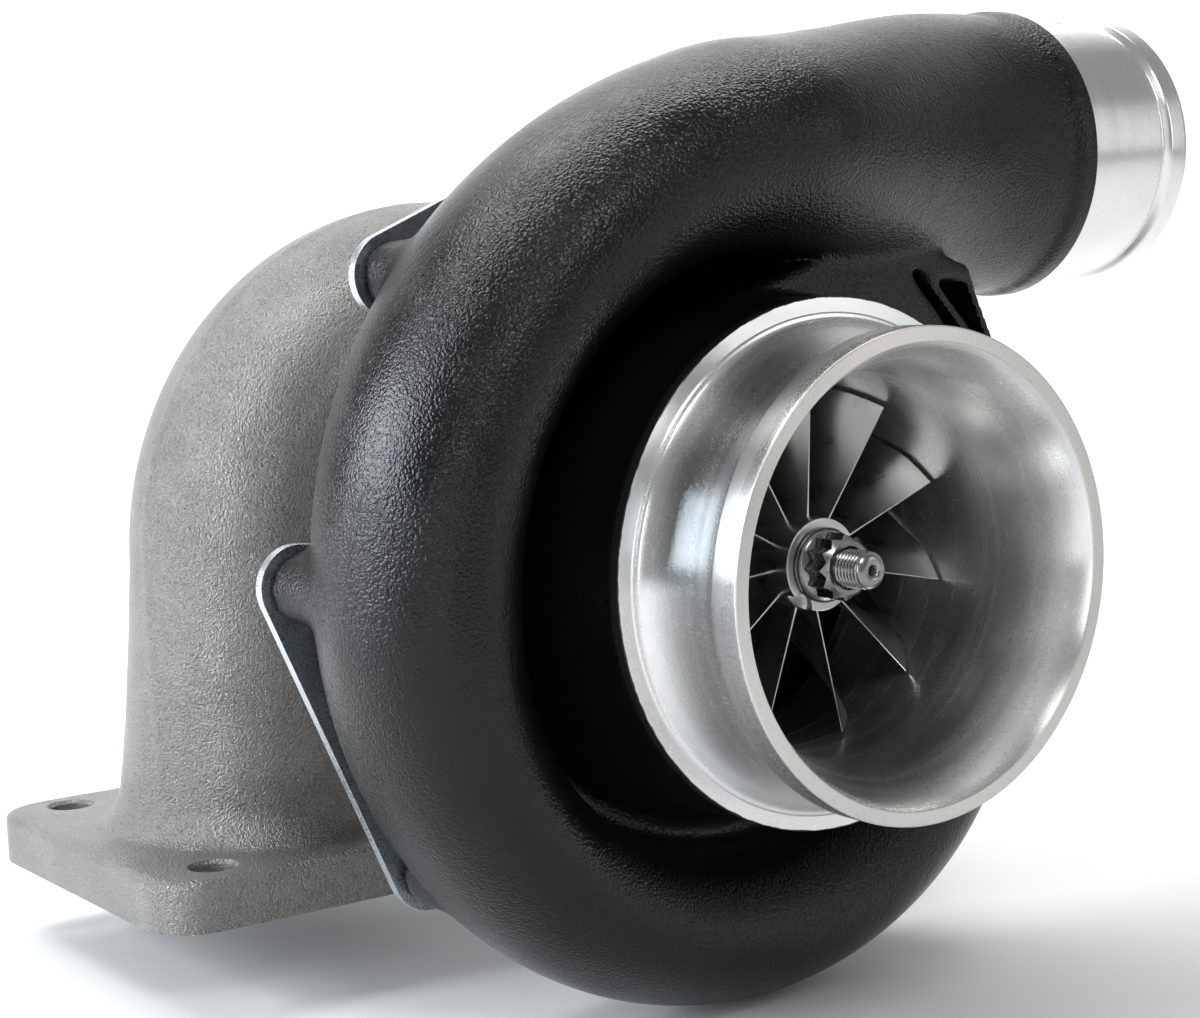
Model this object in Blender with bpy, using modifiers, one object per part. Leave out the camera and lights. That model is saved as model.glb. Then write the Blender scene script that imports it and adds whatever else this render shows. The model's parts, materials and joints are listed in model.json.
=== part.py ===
"""Turbocharger: compressor cover, centre housing, turbine housing and spinning rotor.

Lengths in this script are millimetres and angles are degrees; the helpers turn them into
metres and radians.  Every piece is drawn about the shaft datum: the centre of the inlet
mouth, with +Y running along the shaft towards the turbine, +X to the right and +Z up.
The finished model's origin is the centre of the turbine inlet flange's lower face.
"""
import math

import bmesh
import bpy
from mathutils import Matrix, Vector

MM = 0.001
GAP = 0.3                       # clearance kept between faces that touch

# Where the shaft datum stands, measured from the centre of the turbine inlet flange face
SHAFT_RIGHT = 62.0
SHAFT_HEIGHT = 84.0
FLANGE_BEHIND_MOUTH = 191.0

# Compressor cover
MOUTH_BORE_R = 47.6
MOUTH_LIP_R = 50.8
COLLAR_R = 56.8
COLLAR_Y = 29.7
SHROUD_R = 40.2
SHROUD_START_Y = 44.0
DIFFUSER_Y = 82.0
COVER_REGISTER_Y = 88.0
COVER_BACK_Y = 92.0
REGISTER_R = 84.9
BACK_FLANGE_R = 89.5
COVER_WALL = 5.0

# Compressor outlet, a straight stub for a hose
OUTLET_CENTRE = (102.2, 82.6, 88.7)
OUTLET_TILT = 2.3
OUTLET_CAST_R = 35.5
DUCT_END_R = 34.0
OUTLET_PIPE_R = 31.75
OUTLET_BORE_R = 29.0
OUTLET_BEAD_R = 33.0
OUTLET_LENGTH = 35.4

# Compressor wheel
WHEEL_BLADES = 11
INDUCER_R = 39.4
EXDUCER_R = 54.0
INDUCER_Y = 38.4
WHEEL_NOSE_Y = 33.3
WHEEL_NOSE_R = 10.0
WHEEL_BACK_Y = 87.0
SHROUD_END_R = EXDUCER_R + 0.6
FIRST_BLADE_ANGLE = 54.0
BLADE_WRAP = 52.0

# Cover clamps: pairs of bolts on one circle, and one bolt alone beside the outlet
CLAMP_CIRCLE_R = 93.0
CLAMP_LOBE_R = 9.2
CLAMP_Y = 94.2
CLAMP_THICKNESS = 2.5
COVER_CLAMPS = ((180, 226), (90, 136), (270, 316), (0,))
BOSS_END_Y = CLAMP_Y - GAP

# Shaft line
STUD_R = 3.45
STUD_END_Y = 17.7
JOURNAL_R = 5.8
BEARING_BORE_R = 9.9
BEARING_OUTER_R = 9.2
BEARING_INNER_R = 6.3
BEARING_LENGTH = 10.0
FRONT_BEARING_Y = 108.0
REAR_BEARING_Y = 137.5
SNAP_RING_YS = (119.0, 135.0, 148.5)

# Centre housing
CENTRE_FRONT_Y = 94.1
CENTRE_FLANGE_R = 62.0
CENTRE_FLANGE_BACK_Y = 101.0
CENTRE_BARREL_R = 30.0
CENTRE_REAR_FLANGE_R = 47.0
CENTRE_REAR_FLANGE_Y = 150.3
CENTRE_REAR_FLANGE_BACK_Y = 157.0
CENTRE_NOSE_R = 36.0
CENTRE_NOSE_Y = 163.0
OIL_INLET_Y = 127.8
OIL_PAD_TOP_Z = 40.0
DRAIN_PAD_Z = -46.0
CENTRE_BOLT_CIRCLE_R = 50.0

# Turbine housing
TURBINE_Y = 180.0               # middle plane of the scroll and of the nozzle
NOZZLE_HALF_WIDTH = 7.0
TURBINE_HUB_R = 26.5
TURBINE_TIP_GAP = 0.9
# Bore round the turbine wheel, as (y, radius), from the nozzle's back wall to the exducer
TURBINE_SHROUD = ((187.0, 37.4), (192.0, 35.4), (198.0, 33.4), (212.0, 33.4))
TURBINE_FRONT_Y = 150.0
TURBINE_OUTLET_Y = 238.0
TURBINE_OUTLET_R = 37.0
TURBINE_BLADES = 11
TURBINE_WALL = 5.0
DIVIDER_HALF = 3.0
TURBINE_CLAMP_CIRCLE_R = 52.5
TURBINE_CLAMP_ANGLES = ((30, 90), (150, 210), (270, 330))

# Turbine inlet flange
FLANGE_CENTRE_X = -SHAFT_RIGHT
FLANGE_TOP_Z = -71.5
FLANGE_BOTTOM_Z = -SHAFT_HEIGHT
FLANGE_HALF_X = 47.0
FLANGE_HALF_Y = 54.5
FLANGE_CORNER_R = 13.0
FLANGE_HOLE_HALF_X = 29.5
FLANGE_HOLE_HALF_Y = 42.5
FLANGE_HOLE_R = 5.4

BIG_STEPS = 34                  # sides of a large turned piece
SMALL_STEPS = 16                # sides of a small turned piece


# ---------------------------------------------------------------- scene and materials

def clear_scene():
    for old in list(bpy.data.objects):
        bpy.data.objects.remove(old, do_unlink=True)


def make_collection(name):
    made = bpy.data.collections.new(name)
    bpy.context.scene.collection.children.link(made)
    return made


def make_material(name, colour, roughness, metallic):
    material = bpy.data.materials.new(name)
    material.use_nodes = True
    shader = material.node_tree.nodes["Principled BSDF"]
    shader.inputs["Base Color"].default_value = (*colour, 1.0)
    shader.inputs["Roughness"].default_value = roughness
    shader.inputs["Metallic"].default_value = metallic
    return material


clear_scene()
PARTS = make_collection("turbocharger")
CUTTERS = make_collection("cutters")

DATUM = bpy.data.objects.new("shaft_datum", None)
DATUM.location = Vector((SHAFT_RIGHT, -FLANGE_BEHIND_MOUTH, SHAFT_HEIGHT)) * MM
PARTS.objects.link(DATUM)

BLACK = make_material("black_cast_aluminium", (0.02, 0.02, 0.022), 0.42, 0.0)
BILLET = make_material("billet_aluminium", (0.78, 0.78, 0.79), 0.25, 1.0)
IRON = make_material("cast_iron", (0.30, 0.29, 0.27), 0.55, 0.8)
DARK_IRON = make_material("centre_cast_iron", (0.22, 0.21, 0.20), 0.6, 0.7)
ZINC = make_material("zinc_plated_steel", (0.72, 0.76, 0.80), 0.3, 1.0)
STEEL = make_material("fastener_steel", (0.42, 0.42, 0.44), 0.35, 1.0)
SHAFT_STEEL = make_material("shaft_steel", (0.55, 0.54, 0.52), 0.25, 1.0)
BRONZE = make_material("bronze", (0.65, 0.42, 0.18), 0.35, 1.0)
RUBBER = make_material("rubber", (0.015, 0.015, 0.015), 0.7, 0.0)
STAINLESS = make_material("stainless_sheet", (0.6, 0.58, 0.55), 0.4, 1.0)


# ---------------------------------------------------------------- modelling helpers

def add_object(name, mesh, material=None):
    """Link a mesh as a part when it has a material, or else as a cutter."""
    made = bpy.data.objects.new(name, mesh)
    made.parent = DATUM
    if material:
        mesh.materials.append(material)
        PARTS.objects.link(made)
    else:
        CUTTERS.objects.link(made)
        made.hide_render = True
        made.display_type = "WIRE"
    return made


def finish_mesh(bm, name):
    mesh = bpy.data.meshes.new(name)
    bm.to_mesh(mesh)
    bm.free()
    mesh.shade_smooth()
    mesh.set_sharp_from_angle(angle=math.radians(32))
    return mesh


def profile_area(points):
    pairs = zip(points, points[1:] + points[:1])
    return sum(a[0] * b[1] - b[0] * a[1] for a, b in pairs) / 2


def turned(name, profile, material=None, steps=BIG_STEPS):
    """A solid turned about the shaft from (radius, y) points.

    The outer side has to run towards the mouth for the faces to point out, so the loop is
    turned round when it runs the other way.  A profile that ends on the shaft stays open.
    """
    if profile_area(profile) > 0:
        profile = profile[::-1]
    bm = bmesh.new()
    verts = [bm.verts.new((r * MM, y * MM, 0)) for r, y in profile]
    loop = list(zip(verts, verts[1:]))
    if profile[0][0] > 0 or profile[-1][0] > 0:
        loop.append((verts[-1], verts[0]))
    for pair in loop:
        bm.edges.new(pair)
    mesh = bpy.data.meshes.new(name)
    bm.to_mesh(mesh)
    bm.free()
    made = add_object(name, mesh, material)
    screw = made.modifiers.new("Turn", "SCREW")
    screw.axis = "Y"
    screw.steps = steps
    screw.render_steps = steps
    screw.use_merge_vertices = True
    screw.merge_threshold = 0.00001
    screw.use_smooth_shade = True
    return made


def bake(source):
    """Replace an object's mesh with its evaluated one, and drop its modifiers."""
    depsgraph = bpy.context.evaluated_depsgraph_get()
    baked = bpy.data.meshes.new_from_object(source.evaluated_get(depsgraph))
    source.modifiers.clear()
    source.data = baked
    return source


def add_boolean(target, tool, operation):
    cut = target.modifiers.new(tool.name, "BOOLEAN")
    cut.operation = operation
    cut.solver = "EXACT"
    cut.object = tool


def join_on(target, *tools):
    for tool in tools:
        add_boolean(target, tool, "UNION")


def cut_from(target, *tools):
    for tool in tools:
        add_boolean(target, tool, "DIFFERENCE")


def weld(target):
    """Close the hairline slivers that a long chain of Booleans can leave."""
    modifier = target.modifiers.new("Weld", "WELD")
    modifier.merge_threshold = 0.00001


def loft(name, rings, material=None):
    """A closed skin over rings of equal length, with an end cap on the first and the last."""
    bm = bmesh.new()
    rows = [[bm.verts.new(Vector(p) * MM) for p in ring] for ring in rings]
    for row, following in zip(rows, rows[1:]):
        for i in range(len(row)):
            j = (i + 1) % len(row)
            bm.faces.new((row[i], row[j], following[j], following[i]))
    bm.faces.new(rows[0])
    bm.faces.new(rows[-1])
    bmesh.ops.recalc_face_normals(bm, faces=bm.faces)
    return add_object(name, finish_mesh(bm, name), material)


def rod(name, start, end, radius, end_radius=None, material=None, segments=16):
    """A round bar, or a cone, from one point to another."""
    start = Vector(start) * MM
    end = Vector(end) * MM
    span = end - start
    turn = span.to_track_quat("Z", "Y").to_matrix().to_4x4()
    place = Matrix.Translation((start + end) / 2) @ turn
    last = radius if end_radius is None else end_radius
    bm = bmesh.new()
    bmesh.ops.create_cone(bm, cap_ends=True, segments=segments, radius1=radius * MM,
                          radius2=last * MM, depth=span.length, matrix=place)
    return add_object(name, finish_mesh(bm, name), material)


def outline_plate(name, outline, thickness, place, material=None, bevel=0.0):
    """A flat plate: an outline in its own XY plane, made thick and then placed."""
    curve = bpy.data.curves.new(name, "CURVE")
    curve.dimensions = "2D"
    curve.fill_mode = "BOTH"
    curve.extrude = thickness / 2 * MM
    spline = curve.splines.new("POLY")
    spline.points.add(len(outline) - 1)
    for point, (x, y) in zip(spline.points, outline):
        point.co = (x * MM, y * MM, 0, 1)
    spline.use_cyclic_u = True
    drawn = bpy.data.objects.new(name + "_outline", curve)
    CUTTERS.objects.link(drawn)
    depsgraph = bpy.context.evaluated_depsgraph_get()
    depsgraph.update()
    mesh = bpy.data.meshes.new_from_object(drawn.evaluated_get(depsgraph))
    bpy.data.objects.remove(drawn)
    bm = bmesh.new()
    bm.from_mesh(mesh)
    bmesh.ops.remove_doubles(bm, verts=bm.verts, dist=0.00001)
    bmesh.ops.dissolve_limit(bm, angle_limit=0.001, verts=bm.verts, edges=bm.edges)
    bmesh.ops.transform(bm, matrix=place, verts=bm.verts)
    bmesh.ops.recalc_face_normals(bm, faces=bm.faces)
    return add_object(name, finish_mesh(bm, name), material)


def arc(centre, radius, start, end, count):
    """Points along an arc, ends included, with angles in degrees."""
    turns = [start + (end - start) * i / (count - 1) for i in range(count)]
    return [(centre[0] + radius * math.cos(math.radians(a)),
             centre[1] + radius * math.sin(math.radians(a))) for a in turns]


def rounded_rectangle(half_x, half_y, radius, count=5):
    outline = []
    corners = ((1, 1, 0), (-1, 1, 90), (-1, -1, 180), (1, -1, 270))
    for side_x, side_y, start in corners:
        centre = (side_x * (half_x - radius), side_y * (half_y - radius))
        outline += arc(centre, radius, start, start + 90, count)
    return outline


def blend_table(table, at):
    """Straight-line reading of a small table of (position, value) pairs."""
    for (a, low), (b, high) in zip(table, table[1:]):
        if at <= b:
            share = max(0.0, (at - a) / (b - a))
            return low + (high - low) * share
    return table[-1][1]


def smooth_share(share):
    return share * share * (3 - 2 * share)


def on_circle(radius, angle, y):
    return (radius * math.cos(math.radians(angle)), y, radius * math.sin(math.radians(angle)))


# Plates across the shaft are drawn in X and Z: their own Y axis points up, their Z back
FACING_SHAFT = Matrix(((1, 0, 0, 0), (0, 0, 1, 0), (0, 1, 0, 0), (0, 0, 0, 1)))


def across_shaft(y):
    return Matrix.Translation((0, y * MM, 0)) @ FACING_SHAFT


# ---------------------------------------------------------------- compressor cover

# The scroll grows clockwise, seen from the mouth, from the right-hand side to the top.
# Each table is (degrees clockwise from +X, millimetres).
SCROLL_OUTER_R = ((-40, 102), (0, 104), (45, 107), (90, 103), (180, 101.5), (225, 104), (250, 107.5),
                  (270, 112.5))
SCROLL_INNER_R = ((-40, 83), (0, 80), (45, 74), (90, 67.5), (180, 65), (270, 66))
SCROLL_FRONT_Y = ((-40, 73), (0, 67), (45, 55), (90, 46), (180, 35), (270, 25.5))
SCROLL_BACK_Y = COVER_BACK_Y - 0.6
SCROLL_POINTS = 12
SCROLL_STEP = 18
DUCT_SECTIONS = 6
DUCT_START_X = -9.0             # the duct overlaps the end of the scroll


def scroll_section(turn, inset=0.0):
    """One oval section of the scroll, `inset` inside its outer face."""
    outer = blend_table(SCROLL_OUTER_R, turn)
    inner = blend_table(SCROLL_INNER_R, turn)
    front = blend_table(SCROLL_FRONT_Y, turn)
    across = (outer - inner) / 2 - inset
    along = (SCROLL_BACK_Y - front) / 2 - inset
    middle_r = (outer + inner) / 2
    middle_y = (SCROLL_BACK_Y + front) / 2
    ring = []
    for i in range(SCROLL_POINTS):
        t = math.radians(360 * i / SCROLL_POINTS)
        radius = middle_r + across * math.cos(t)
        ring.append(on_circle(radius, -turn, middle_y + along * math.sin(t)))
    return ring


def duct_section(share, inset=0.0):
    """A section of the outlet duct: from the scroll's top, oval, to the round outlet."""
    top = blend_table(SCROLL_OUTER_R, 270)
    low = blend_table(SCROLL_INNER_R, 270)
    front = blend_table(SCROLL_FRONT_Y, 270)
    eased = smooth_share(share)
    set_back = smooth_share(max(0.0, share - 0.35) / 0.65)
    high = (top - low) / 2 + (DUCT_END_R - (top - low) / 2) * eased - inset
    deep = (SCROLL_BACK_Y - front) / 2
    deep = deep + (DUCT_END_R - deep) * eased - inset
    middle_z = (top + low) / 2
    centre = Vector((DUCT_START_X + (OUTLET_CENTRE[0] - DUCT_START_X) * share,
                     (SCROLL_BACK_Y + front) / 2,
                     middle_z + (OUTLET_CENTRE[2] - middle_z) * eased))
    centre.y += (OUTLET_CENTRE[1] - centre.y) * set_back
    tilt = math.radians(OUTLET_TILT) * eased
    ring = []
    for i in range(SCROLL_POINTS):
        t = math.radians(360 * i / SCROLL_POINTS)
        rise = high * math.cos(t)
        ring.append((centre.x - rise * math.sin(tilt), centre.y + deep * math.sin(t),
                     centre.z + rise * math.cos(tilt)))
    return ring


def outlet_point(distance):
    tilt = math.radians(OUTLET_TILT)
    x, y, z = OUTLET_CENTRE
    return (x + distance * math.cos(tilt), y, z + distance * math.sin(tilt))


def bell_profile():
    """Bore of the cover: bell mouth, shroud over the blades, diffuser and back register."""
    bell = []
    for i in range(5):
        t = math.radians(90 * i / 4)
        bell.append((MOUTH_BORE_R - (MOUTH_BORE_R - SHROUD_R) * math.sin(t),
                     36 * (1 - math.cos(t))))
    shroud = []
    for i in range(5):
        t = math.radians(90 * i / 4)
        shroud.append((SHROUD_END_R - (SHROUD_END_R - SHROUD_R) * math.cos(t),
                       SHROUD_START_Y + (DIFFUSER_Y - SHROUD_START_Y) * math.sin(t)))
    back = [(77, DIFFUSER_Y), (77, COVER_REGISTER_Y), (REGISTER_R, COVER_REGISTER_Y),
            (REGISTER_R, COVER_BACK_Y + 10), (0, COVER_BACK_Y + 10)]
    return [(0, -5), (MOUTH_BORE_R, -5)] + bell + shroud + back


def cover_body_profile():
    """Outside of the cover's turned middle: lip, hose groove, collar and recessed dish."""
    front = [(20, 0), (MOUTH_LIP_R, 0), (MOUTH_LIP_R, 7.4), (48.7, 8.4), (48.2, 14), (49.3, 22),
             (52.2, COLLAR_Y), (COLLAR_R, COLLAR_Y), (COLLAR_R, 40), (57.5, 62), (61, 72),
             (67, 76), (80, 77)]
    back = [(BACK_FLANGE_R, 78), (BACK_FLANGE_R, COVER_BACK_Y), (20, COVER_BACK_Y)]
    return front + back


def compressor_cover():
    cover = turned("compressor_housing", cover_body_profile(), BLACK)
    turns = list(range(-40, 270, SCROLL_STEP)) + [270]
    outer = [scroll_section(turn) for turn in turns]
    inner = [scroll_section(turn, COVER_WALL) for turn in turns[1:]]
    shares = [i / DUCT_SECTIONS for i in range(DUCT_SECTIONS + 1)]
    duct_outer = [duct_section(share) for share in shares]
    duct_inner = [duct_section(share, COVER_WALL) for share in shares]
    overlap = 3.0
    collar = rod("outlet_collar", outlet_point(-8), outlet_point(0.1), OUTLET_CAST_R, segments=28)
    pipe = rod("outlet_pipe", outlet_point(-overlap), outlet_point(OUTLET_LENGTH),
               OUTLET_PIPE_R, segments=32)
    bead = rod("outlet_bead", outlet_point(OUTLET_LENGTH - 6), outlet_point(OUTLET_LENGTH - 3),
               OUTLET_BEAD_R, segments=32)
    bore = rod("outlet_bore", outlet_point(-2 * overlap), outlet_point(OUTLET_LENGTH + 5),
               OUTLET_BORE_R, segments=32)
    bosses = [rod(f"cover_boss_{i}", on_circle(CLAMP_CIRCLE_R, a, 74),
                  on_circle(CLAMP_CIRCLE_R, a, BOSS_END_Y), CLAMP_LOBE_R - 0.4)
              for i, a in enumerate(cover_bolt_angles())]
    holes = [rod(f"cover_hole_{i}", on_circle(CLAMP_CIRCLE_R, a, 84),
                 on_circle(CLAMP_CIRCLE_R, a, BOSS_END_Y + 5), 3.4, segments=8)
             for i, a in enumerate(cover_bolt_angles())]
    join_on(cover, loft("scroll_outside", outer), loft("duct_outside", duct_outer), collar, pipe, bead,
            *bosses)
    cut_from(cover, loft("scroll_inside", inner), loft("duct_inside", duct_inner), bore,
             turned("cover_bore", bell_profile()), *holes)
    weld(cover)


def cover_bolt_angles():
    return [angle for clamp in COVER_CLAMPS for angle in clamp]


def clamp_outline(angles, circle_r, lobe_r, inner_r):
    """Straight outer edge between round lobes, and an inner edge that follows the housing."""
    first = angles[0]
    last = angles[-1]
    outline = []
    for angle, start, end in ((first, first - 90, first), (last, last, last + 90)):
        centre = (circle_r * math.cos(math.radians(angle)),
                  circle_r * math.sin(math.radians(angle)))
        if len(angles) == 1:
            outline += arc(centre, lobe_r, start, end, 5)
            continue
        straight = (first + last) / 2
        if angle == first:
            outline += arc(centre, lobe_r, start, straight, 6)
        else:
            outline += arc(centre, lobe_r, straight, end, 6)
    margin = math.degrees(lobe_r / circle_r)
    outline += arc((0, 0), inner_r, last + margin, first - margin, 6 if len(angles) > 1 else 3)
    return outline


def cover_clamps():
    place = across_shaft(CLAMP_Y + CLAMP_THICKNESS / 2)
    for number, angles in enumerate(COVER_CLAMPS, 1):
        outline = clamp_outline(angles, CLAMP_CIRCLE_R, CLAMP_LOBE_R, 78)
        plate = outline_plate(f"clamp_plate_{number}", outline, CLAMP_THICKNESS, place, ZINC)
        for i, angle in enumerate(angles):
            hole = rod(f"clamp_{number}_hole_{i}", on_circle(CLAMP_CIRCLE_R, angle, CLAMP_Y - 5),
                       on_circle(CLAMP_CIRCLE_R, angle, CLAMP_Y + 10), 3.4, segments=8)
            cut_from(plate, hole)


def hex_bolt_mesh(name, head_r, head_height, shank_r, shank_length):
    """A hexagon-headed bolt: the head's seat is at y = 0 and the shank runs towards -Y."""
    head = rod(name + "_head", (0, 0, 0), (0, head_height, 0), head_r, segments=6)
    shank = rod(name + "_shank", (0, -shank_length, 0), (0, head_height / 2, 0), shank_r,
                segments=10)
    join_on(head, shank)
    bake(head)
    mesh = head.data
    bpy.data.objects.remove(shank)
    bpy.data.objects.remove(head)
    return mesh


def place_bolts(name, mesh, circle_r, angles, seat_y, material=STEEL, turned_round=False):
    mesh.materials.clear()
    mesh.materials.append(material)
    for number, angle in enumerate(angles, 1):
        bolt = bpy.data.objects.new(f"{name}_{number}", mesh)
        bolt.parent = DATUM
        bolt.location = Vector(on_circle(circle_r, angle, seat_y)) * MM
        if turned_round:
            bolt.rotation_euler.z = math.pi
        PARTS.objects.link(bolt)


# ---------------------------------------------------------------- back plate and centre housing

def back_plate():
    plate = turned("back_plate", [(9.6, 88.3), (84, 88.3), (84, 90), (81.4, 90), (81.4, 92.4),
                                  (84, 92.4), (84, 93.8), (20, 93.8), (20, 97.5), (9.6, 97.5)], BILLET)
    holes = [rod(f"back_plate_hole_{i}", on_circle(CENTRE_BOLT_CIRCLE_R, a, 90.3),
                 on_circle(CENTRE_BOLT_CIRCLE_R, a, 110), 3.4, segments=8)
             for i, a in enumerate(centre_bolt_angles())]
    cut_from(plate, *holes)
    turned("back_plate_seal", [(81.8, 90.3), (84.2, 90.3), (84.2, 92.1), (81.8, 92.1)], RUBBER)


def centre_bolt_angles():
    return (45, 135, 225, 315)


def centre_housing():
    """Iron housing for the bearings, with an oil feed pad on top and a drain underneath."""
    outside = [(BEARING_BORE_R, 106), (24, 106), (24, CENTRE_FRONT_Y),
               (CENTRE_FLANGE_R, CENTRE_FRONT_Y), (CENTRE_FLANGE_R, CENTRE_FLANGE_BACK_Y),
               (36, CENTRE_FLANGE_BACK_Y + 2), (CENTRE_BARREL_R, 109), (CENTRE_BARREL_R, 138),
               (35, 144), (39, CENTRE_REAR_FLANGE_Y),
               (CENTRE_REAR_FLANGE_R, CENTRE_REAR_FLANGE_Y),
               (CENTRE_REAR_FLANGE_R, CENTRE_REAR_FLANGE_BACK_Y),
               (CENTRE_NOSE_R, CENTRE_REAR_FLANGE_BACK_Y), (CENTRE_NOSE_R, CENTRE_NOSE_Y),
               (BEARING_BORE_R, CENTRE_NOSE_Y)]
    bore = []
    for y in sorted(SNAP_RING_YS, reverse=True):
        bore += [(BEARING_BORE_R, y + 1.9), (11.4, y + 1.9), (11.4, y - 0.4),
                 (BEARING_BORE_R, y - 0.4)]
    housing = turned("bearing_housing", outside + bore, DARK_IRON, 24)
    pad_depth = 25
    pad_z = OIL_PAD_TOP_Z - pad_depth / 2
    pad = outline_plate("oil_inlet_pad", rounded_rectangle(15, 15, 6, 3), pad_depth,
                        Matrix.Translation(Vector((0, OIL_INLET_Y, pad_z)) * MM))
    drain_z = DRAIN_PAD_Z + pad_depth / 2
    drain = outline_plate("oil_drain_pad", rounded_rectangle(24, 15, 7, 3), pad_depth,
                          Matrix.Translation(Vector((0, OIL_INLET_Y, drain_z)) * MM))
    join_on(housing, pad, drain)
    feed = rod("oil_feed", (0, OIL_INLET_Y, 0), (0, OIL_INLET_Y, OIL_PAD_TOP_Z + 5), 4, segments=12)
    sump = rod("oil_sump", (0, OIL_INLET_Y, 0), (0, OIL_INLET_Y, DRAIN_PAD_Z - 5), 9, segments=16)
    cut_from(housing, feed, sump)
    for side in (-1, 1):
        cut_from(housing, rod(f"drain_hole_{side}", (side * 18, OIL_INLET_Y, DRAIN_PAD_Z + 12),
                              (side * 18, OIL_INLET_Y, DRAIN_PAD_Z - 5), 3.2, segments=8))
        cut_from(housing, rod(f"feed_hole_{side}", (side * 10.5, OIL_INLET_Y, OIL_PAD_TOP_Z - 7),
                              (side * 10.5, OIL_INLET_Y, OIL_PAD_TOP_Z + 5), 2.2, segments=8))
    for i, angle in enumerate(centre_bolt_angles()):
        cut_from(housing, rod(f"centre_hole_{i}", on_circle(CENTRE_BOLT_CIRCLE_R, angle, 90),
                              on_circle(CENTRE_BOLT_CIRCLE_R, angle, 110), 3.4, segments=8))
    weld(housing)


def sleeve(name, inner, outer, start, end, material, steps=SMALL_STEPS):
    return turned(name, [(inner, start), (outer, start), (outer, end), (inner, end)], material,
                  steps)


def snap_ring(name, start, end):
    """An open spring ring: a square section carried round 330 degrees."""
    rings = []
    for i in range(19):
        angle = 105 + 330 * i / 18
        rings.append([on_circle(8.8, angle, start), on_circle(11, angle, start),
                      on_circle(11, angle, end), on_circle(8.8, angle, end)])
    loft(name, rings, STEEL)


def bearings_and_seals():
    sleeve("front_bearing", BEARING_INNER_R, BEARING_OUTER_R, FRONT_BEARING_Y,
           FRONT_BEARING_Y + BEARING_LENGTH, BRONZE)
    sleeve("rear_bearing", BEARING_INNER_R, BEARING_OUTER_R, REAR_BEARING_Y,
           REAR_BEARING_Y + BEARING_LENGTH, BRONZE)
    for number, y in enumerate(SNAP_RING_YS, 1):
        snap_ring(f"snap_ring_{number}", y, y + 1.5)
    sleeve("thrust_bearing", 9.4, 23.2, 101.2, 105.6, BRONZE)
    sleeve("compressor_seal_ring", 7.3, 9.0, 93.2, 94.8, STEEL)
    sleeve("turbine_seal_ring", 7.6, 9.4, 154.0, 155.6, STEEL)
    turned("heat_shield", [(12, 167.6), (22.2, 167.6), (25, 163.6), (38.5, 163.6), (38.5, 164.8),
                           (25.8, 164.8), (23, 168.8), (12, 168.8)], STAINLESS, 20)


# ---------------------------------------------------------------- rotor

def bladed(name, blades, hub, sides):
    """Join evenly spaced copies of one blade onto a turned hub."""
    bm = bmesh.new()
    for number in range(blades):
        turn = Matrix.Rotation(-math.tau * number / blades, 4, "Y")
        rows = [[[bm.verts.new(turn @ (Vector(p) * MM)) for p in row] for row in side]
                for side in sides]
        skin_blade(bm, rows)
    bmesh.ops.recalc_face_normals(bm, faces=bm.faces)
    join_on(hub, add_object(name, finish_mesh(bm, name)))


def skin_blade(bm, rows):
    """Close a blade given as two grids of points, one for each side."""
    near, far = rows
    stations = len(near)
    spans = len(near[0])
    for i in range(stations - 1):
        for j in range(spans - 1):
            bm.faces.new((near[i][j], near[i + 1][j], near[i + 1][j + 1], near[i][j + 1]))
            bm.faces.new((far[i][j], far[i][j + 1], far[i + 1][j + 1], far[i + 1][j]))
    for i in range(stations - 1):
        for j in (0, spans - 1):
            bm.faces.new((near[i][j], far[i][j], far[i + 1][j], near[i + 1][j]))
    for j in range(spans - 1):
        for i in (0, stations - 1):
            bm.faces.new((near[i][j], near[i][j + 1], far[i][j + 1], far[i][j]))


def blade_sides(hub_curve, tip_curve, angle_of, thickness, stations, spans):
    """Two grids either side of a camber surface, `thickness` apart round the shaft."""
    sides = []
    for side in (-1, 1):
        grid = []
        for i in range(stations):
            share = i / (stations - 1)
            root = hub_curve(share)
            tip = tip_curve(share)
            row = []
            for j in range(spans):
                out = j / (spans - 1)
                radius = root[0] + (tip[0] - root[0]) * out
                y = root[1] + (tip[1] - root[1]) * out
                swing = math.degrees(side * thickness / 2 / radius)
                row.append(on_circle(radius, angle_of(share) + swing, y))
            grid.append(row)
        sides.append(grid)
    return sides


def quarter(start_r, start_y, end_r, end_y):
    """A quarter oval that leaves along the shaft and arrives square to it."""
    def point(share):
        t = math.radians(90 * share)
        return (end_r - (end_r - start_r) * math.cos(t), start_y + (end_y - start_y) * math.sin(t))
    return point


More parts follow.
